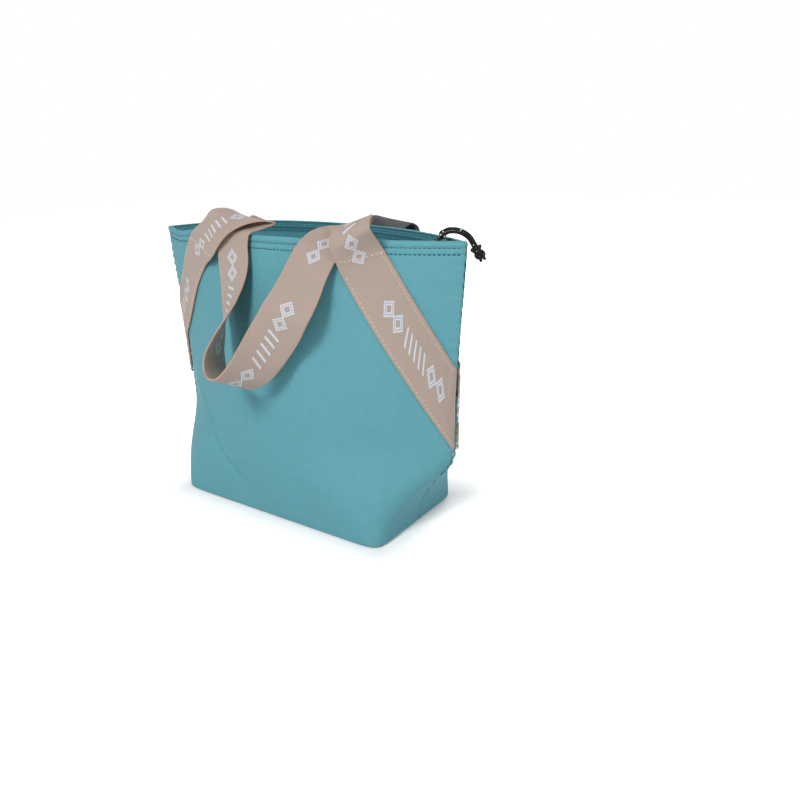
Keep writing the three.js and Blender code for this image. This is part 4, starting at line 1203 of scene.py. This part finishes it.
def ribbon(name, rows, run, face_sign):
    """Closed webbing about rows of centre points; its UV is the place along and across the webbing."""
    along = np.gradient(rows, axis=0)
    across = np.gradient(rows, axis=1)
    normal = unit(np.cross(across, along)) * face_sign
    past_edge = np.maximum(np.abs(STRAP_SHARES) - EDGE_START, 0)
    rounding = np.sqrt(np.clip(1 - past_edge ** 2 / EDGE_REACH ** 2, EDGE_THIN, 1))
    lift = normal * (STRAP_THICK / 2 * rounding)[None, :, None]
    uv = np.stack(np.broadcast_arrays(run[:, None], STRAP_SHARES[None] * STRAP_WIDTH / 2), -1)
    piece = closed_sheet(name, rows + lift, rows - lift, uv, webbing, 60)
    return piece


# How far a bend between the bag and a lifted handle reaches at most, and the step of its way in degrees
BEND_LONGEST = 0.020
BEND_STEP = 0.5


def bend_places(arc, place):
    """Where an arc starts and ends its bend, along the way that parts its sewn end most from the grip."""
    points = np.array([v.co for v in arc.data.vertices]).reshape(2, -1, len(STRAP_SHARES), 3)
    sewn, grip = (points[:, row].reshape(-1, 3) for row in ((0, -1) if place == "left" else (-1, 0)))
    turns, tilts = (np.radians(np.arange(*limits, BEND_STEP)) for limits in ((0, 360), (-90, 90)))
    ways = pointed(*np.meshgrid(turns, tilts)).reshape(-1, 3)
    low = (ways @ sewn.T).max(axis=1)
    high = (ways @ grip.T).min(axis=1)
    best = np.argmax(high - low)
    middle = sewn.mean(axis=0)
    start = max(low[best], high[best] - BEND_LONGEST)
    return [tuple(middle + ways[best] * (reach - middle @ ways[best])) for reach in (start, high[best])]


THREAD_CREAM = (0.66, 0.57, 0.48)
EDGE_STITCH_IN = 0.0026
STRAP_STITCH = 0.0024
STRAP_STITCH_GAP = 0.0013
STRAP_THREAD = 0.00022
EDGE_STITCH_END = 0.005
# A cross row starts and ends this far inside the webbing's two edges
CROSS_MARGINS = (0.0015, 0.001)
# The row across a sewn end runs nearly level: its middle past the end of the sewn leg, and its slope
CROSS_ROWS = {"left": (0.008, 0.80), "right": (0.0015, 0.375)}
CROSS_THREAD = 0.00038
strap_thread = thread_material("cream_thread", THREAD_CREAM)


def on_webbing(rows, outs, run, along, across):
    """A place on the webbing's outer face and the way out from it."""
    row = np.clip(np.interp(along, run, np.arange(len(run))), 0, len(run) - 1.001)
    column = np.interp(across / (STRAP_WIDTH / 2), STRAP_SHARES, np.arange(len(STRAP_SHARES)))
    r, c = row.astype(int), np.minimum(column.astype(int), len(STRAP_SHARES) - 2)
    u, v = (row - r)[:, None], (column - c)[:, None]
    place, out = (between(table, r, c, u, v) for table in (rows, outs))
    return place + unit(out) * STRAP_THICK / 2, unit(out)


def webbing_stitches(name, rows, outs, run, starts, ends, radius):
    """Stitches on the webbing between pairs of (along, across) places."""
    first, out = on_webbing(rows, outs, run, *np.asarray(starts, dtype=float).T)
    last, _ = on_webbing(rows, outs, run, *np.asarray(ends, dtype=float).T)
    seams = stitches(name, first, last, out, radius, strap_thread)
    return seams


# The free webbing is eased onto its sewn ends over a length, and each join is smoothed over some rows
JOIN_EASE = 0.010
JOIN_SMOOTHING = 9
JOIN_PASSES = 8
# A row inside a sewn end, counted from the webbing's own end, that tells which face looks outwards
FACE_ROW = 10


def webbing_rows(side):
    """Rows of points across one whole webbing, and the numbers of the rows where its pieces part."""
    free = free_rows(side)
    runs = np.linspace(1, 0, SEWN_ROWS + 1)
    left = sewn_rows(side, LEGS["left"], runs)
    right = sewn_rows(side, LEGS["right"], runs[::-1])
    steps = np.linalg.norm(np.diff(free[:, STRAP_MIDDLE], axis=0), axis=1)
    from_left = np.concatenate([[0], np.cumsum(steps)])
    from_right = from_left[-1] - from_left
    for distance, gap in ((from_left, left[-1] - free[0]), (from_right, right[0] - free[-1])):
        ease = np.clip(1 - distance / JOIN_EASE, 0, 1)
        free = free + (ease * ease * (3 - 2 * ease))[:, None, None] * gap
    rows = np.vstack([left[:-1], free, right[1:]])
    right_join = SEWN_ROWS + len(free) - 1
    for _ in range(JOIN_PASSES):
        for join in (SEWN_ROWS, right_join):
            near = np.arange(join - JOIN_SMOOTHING, join + JOIN_SMOOTHING + 1)
            share = np.cos((near - join) / (JOIN_SMOOTHING + 1) * math.pi / 2)[:, None, None] ** 2
            around = (rows[near - 2] + rows[near - 1] + rows[near + 1] + rows[near + 2]) / 4
            rows[near] += share * (around - rows[near])
    arc_stations, grip_stations, _ = free_stations(side)
    grip_start = SEWN_ROWS + SPAN_SAMPLES * (len(arc_stations) + 1)
    grip_end = grip_start + SPAN_SAMPLES * (len(grip_stations) - 1)
    return rows, [0, SEWN_ROWS, grip_start, grip_end, right_join, len(rows) - 1]


for side in ("front", "back"):
    rows, cuts = webbing_rows(side)
    run = np.concatenate([[0], np.cumsum(np.linalg.norm(np.diff(rows[:, STRAP_MIDDLE], axis=0), axis=1))])
    outs = unit(np.cross(np.gradient(rows, axis=1), np.gradient(rows, axis=0)))
    out_way = -1 if side == "front" else 1
    face_sign = np.sign(outs[-FACE_ROW, STRAP_MIDDLE, 1]) * out_way
    names = ("sewn_left", "arc_left", "grip", "arc_right", "sewn_right")
    handle = {}
    for name, start, end in zip(names, cuts[:-1], cuts[1:]):
        handle[name] = ribbon(f"webbing_{side}_{name}", rows[start:end + 1], run[start:end + 1], face_sign)
        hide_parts(f"handle_{side}_{name}")
    # Painted shade: the back handle's right arc gets the dark grey webbing.
    if side == "back":
        handle["arc_right"].data.materials[0] = arc_shade_webbing
    bends = {place: bend_places(handle[f"arc_{place}"], place) for place in ("left", "right")}
    pitch = STRAP_STITCH + STRAP_STITCH_GAP
    half = STRAP_WIDTH / 2
    cross_marks = np.arange(-half + CROSS_MARGINS[0], half - STRAP_STITCH - CROSS_MARGINS[1], pitch)
    for place, inward, first, last, join, face_row in (
        ("left", 1, run[0], run[cuts[1]], run[cuts[1]], FACE_ROW),
        ("right", -1, run[cuts[4]], run[-1], run[cuts[4]], -FACE_ROW),
    ):
        middle, slope = CROSS_ROWS[place]
        marks = np.arange(first + EDGE_STITCH_END, last - EDGE_STITCH_END, pitch)
        edges = np.vstack([np.stack([marks, np.full(len(marks), edge * (half - EDGE_STITCH_IN))], -1)
                           for edge in (-1, 1)])
        seam_outs = outs * np.sign(outs[face_row, STRAP_MIDDLE, 1]) * out_way
        edge_seam = webbing_stitches(f"edge_stitches_{side}_{place}", rows, seam_outs, run, edges,
                                     edges + (STRAP_STITCH, 0), STRAP_THREAD)
        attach(edge_seam, "bag")
        level = [np.stack([join + inward * (middle + slope * v), v], -1)
                 for v in (cross_marks, cross_marks + STRAP_STITCH)]
        cross_seam = webbing_stitches(f"cross_stitches_{side}_{place}", rows, seam_outs, run, *level,
                                      CROSS_THREAD)
        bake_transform(cross_seam)
    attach(handle["sewn_left"], "bag")
    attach(handle["sewn_right"], "bag")
    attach(handle["grip"], f"{side}_handle")
    for place, (start, end) in bends.items():
        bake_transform(handle[f"arc_{place}"])

# A plain pale floor and soft studio light: the key lamp stands in front and above, a weak fill on the right
# and one more behind, all inside a white surround. The floor's glow, seen by the camera only, is weaker near
# the bag: painted shade round the bag on top of its real shadow.
FLOOR_SIZE = 6.0
FLOOR_DROP = 0.0004
FLOOR_FADE = 0.05
FLOOR_GLOW = (0.14, 0.70)
FLOOR_NEAR = (("X", 0.12), ("Y", 0.06))
LAMP_TARGET = (0, 0, 0.12)
SURROUND_LIGHT = 0.36
SURROUND_SEEN = 1.0


def seen_rays(tree):
    """One where a ray shows what the camera sees: straight, in a reflection or through glass."""
    path = tree.nodes.new("ShaderNodeLightPath")
    seen = math_node(tree, "MAXIMUM", path.outputs["Is Camera Ray"], path.outputs["Is Glossy Ray"])
    return math_node(tree, "MAXIMUM", seen, path.outputs["Is Transmission Ray"])


floor_mesh = bpy.data.meshes.new("studio_floor")
corner = FLOOR_SIZE / 2
floor_mesh.from_pydata([(-corner, -corner, -FLOOR_DROP), (corner, -corner, -FLOOR_DROP),
                        (corner, corner, -FLOOR_DROP), (-corner, corner, -FLOOR_DROP)], [], [(0, 1, 2, 3)])
floor = bpy.data.objects.new("studio_floor", floor_mesh)
bpy.context.scene.collection.objects.link(floor)
floor_material, tree, shader = new_material("white_floor", 0.9)
shader.inputs["Base Color"].default_value = (0.86, 0.86, 0.86, 1)
shader.inputs["Specular IOR Level"].default_value = 0.1
shader.inputs["Emission Color"].default_value = (1, 1, 1, 1)
seen = seen_rays(tree)
floor_place = tree.nodes.new("ShaderNodeSeparateXYZ")
tree.links.new(tree.nodes.new("ShaderNodeNewGeometry").outputs["Position"], floor_place.inputs[0])
floor_offs = []
for way, half in FLOOR_NEAR:
    off_centre = math_node(tree, "ABSOLUTE", floor_place.outputs[way])
    floor_offs.append(math_node(tree, "MAXIMUM", math_node(tree, "SUBTRACT", off_centre, half), 0.0))
squares = [math_node(tree, "MULTIPLY", off, off) for off in floor_offs]
floor_off = math_node(tree, "SQRT", math_node(tree, "ADD", *squares))
# Painted shade: the camera-only glow fades towards the bag, so the floor there shows darker.
far = math_node(tree, "MINIMUM", math_node(tree, "DIVIDE", floor_off, FLOOR_FADE), 1.0)
glow = math_node(tree, "ADD", math_node(tree, "MULTIPLY", far, FLOOR_GLOW[1] - FLOOR_GLOW[0]), FLOOR_GLOW[0])
tree.links.new(math_node(tree, "MULTIPLY", seen, glow), shader.inputs["Emission Strength"])
floor_mesh.materials.append(floor_material)


def soft_lamp(name, place, target, size, power):
    """A square area lamp that faces a point."""
    lamp_data = bpy.data.lights.new(name, "AREA")
    lamp_data.size = size
    lamp_data.energy = power
    lamp = bpy.data.objects.new(name, lamp_data)
    lamp.location = place
    lamp.rotation_euler = (Vector(target) - Vector(place)).to_track_quat("-Z", "Y").to_euler()
    bpy.context.scene.collection.objects.link(lamp)


soft_lamp("key_lamp", (0.25, -1.5, 1.35), LAMP_TARGET, 0.5, 23)
soft_lamp("fill_lamp", (1.6, -0.5, 0.7), LAMP_TARGET, 1.0, 4.5)
soft_lamp("back_lamp", (-0.4, 1.7, 1.1), LAMP_TARGET, 1.0, 14)

world = bpy.data.worlds.new("white_surround")
world.use_nodes = True
bpy.context.scene.world = world
backdrop = world.node_tree.nodes["Background"]
tree = world.node_tree
extra = math_node(tree, "MULTIPLY", seen_rays(tree), SURROUND_SEEN - SURROUND_LIGHT)
tree.links.new(math_node(tree, "ADD", extra, SURROUND_LIGHT), backdrop.inputs["Strength"])
backdrop.inputs["Color"].default_value = (1, 1, 1, 1)
bpy.context.scene.view_settings.view_transform = "Standard"
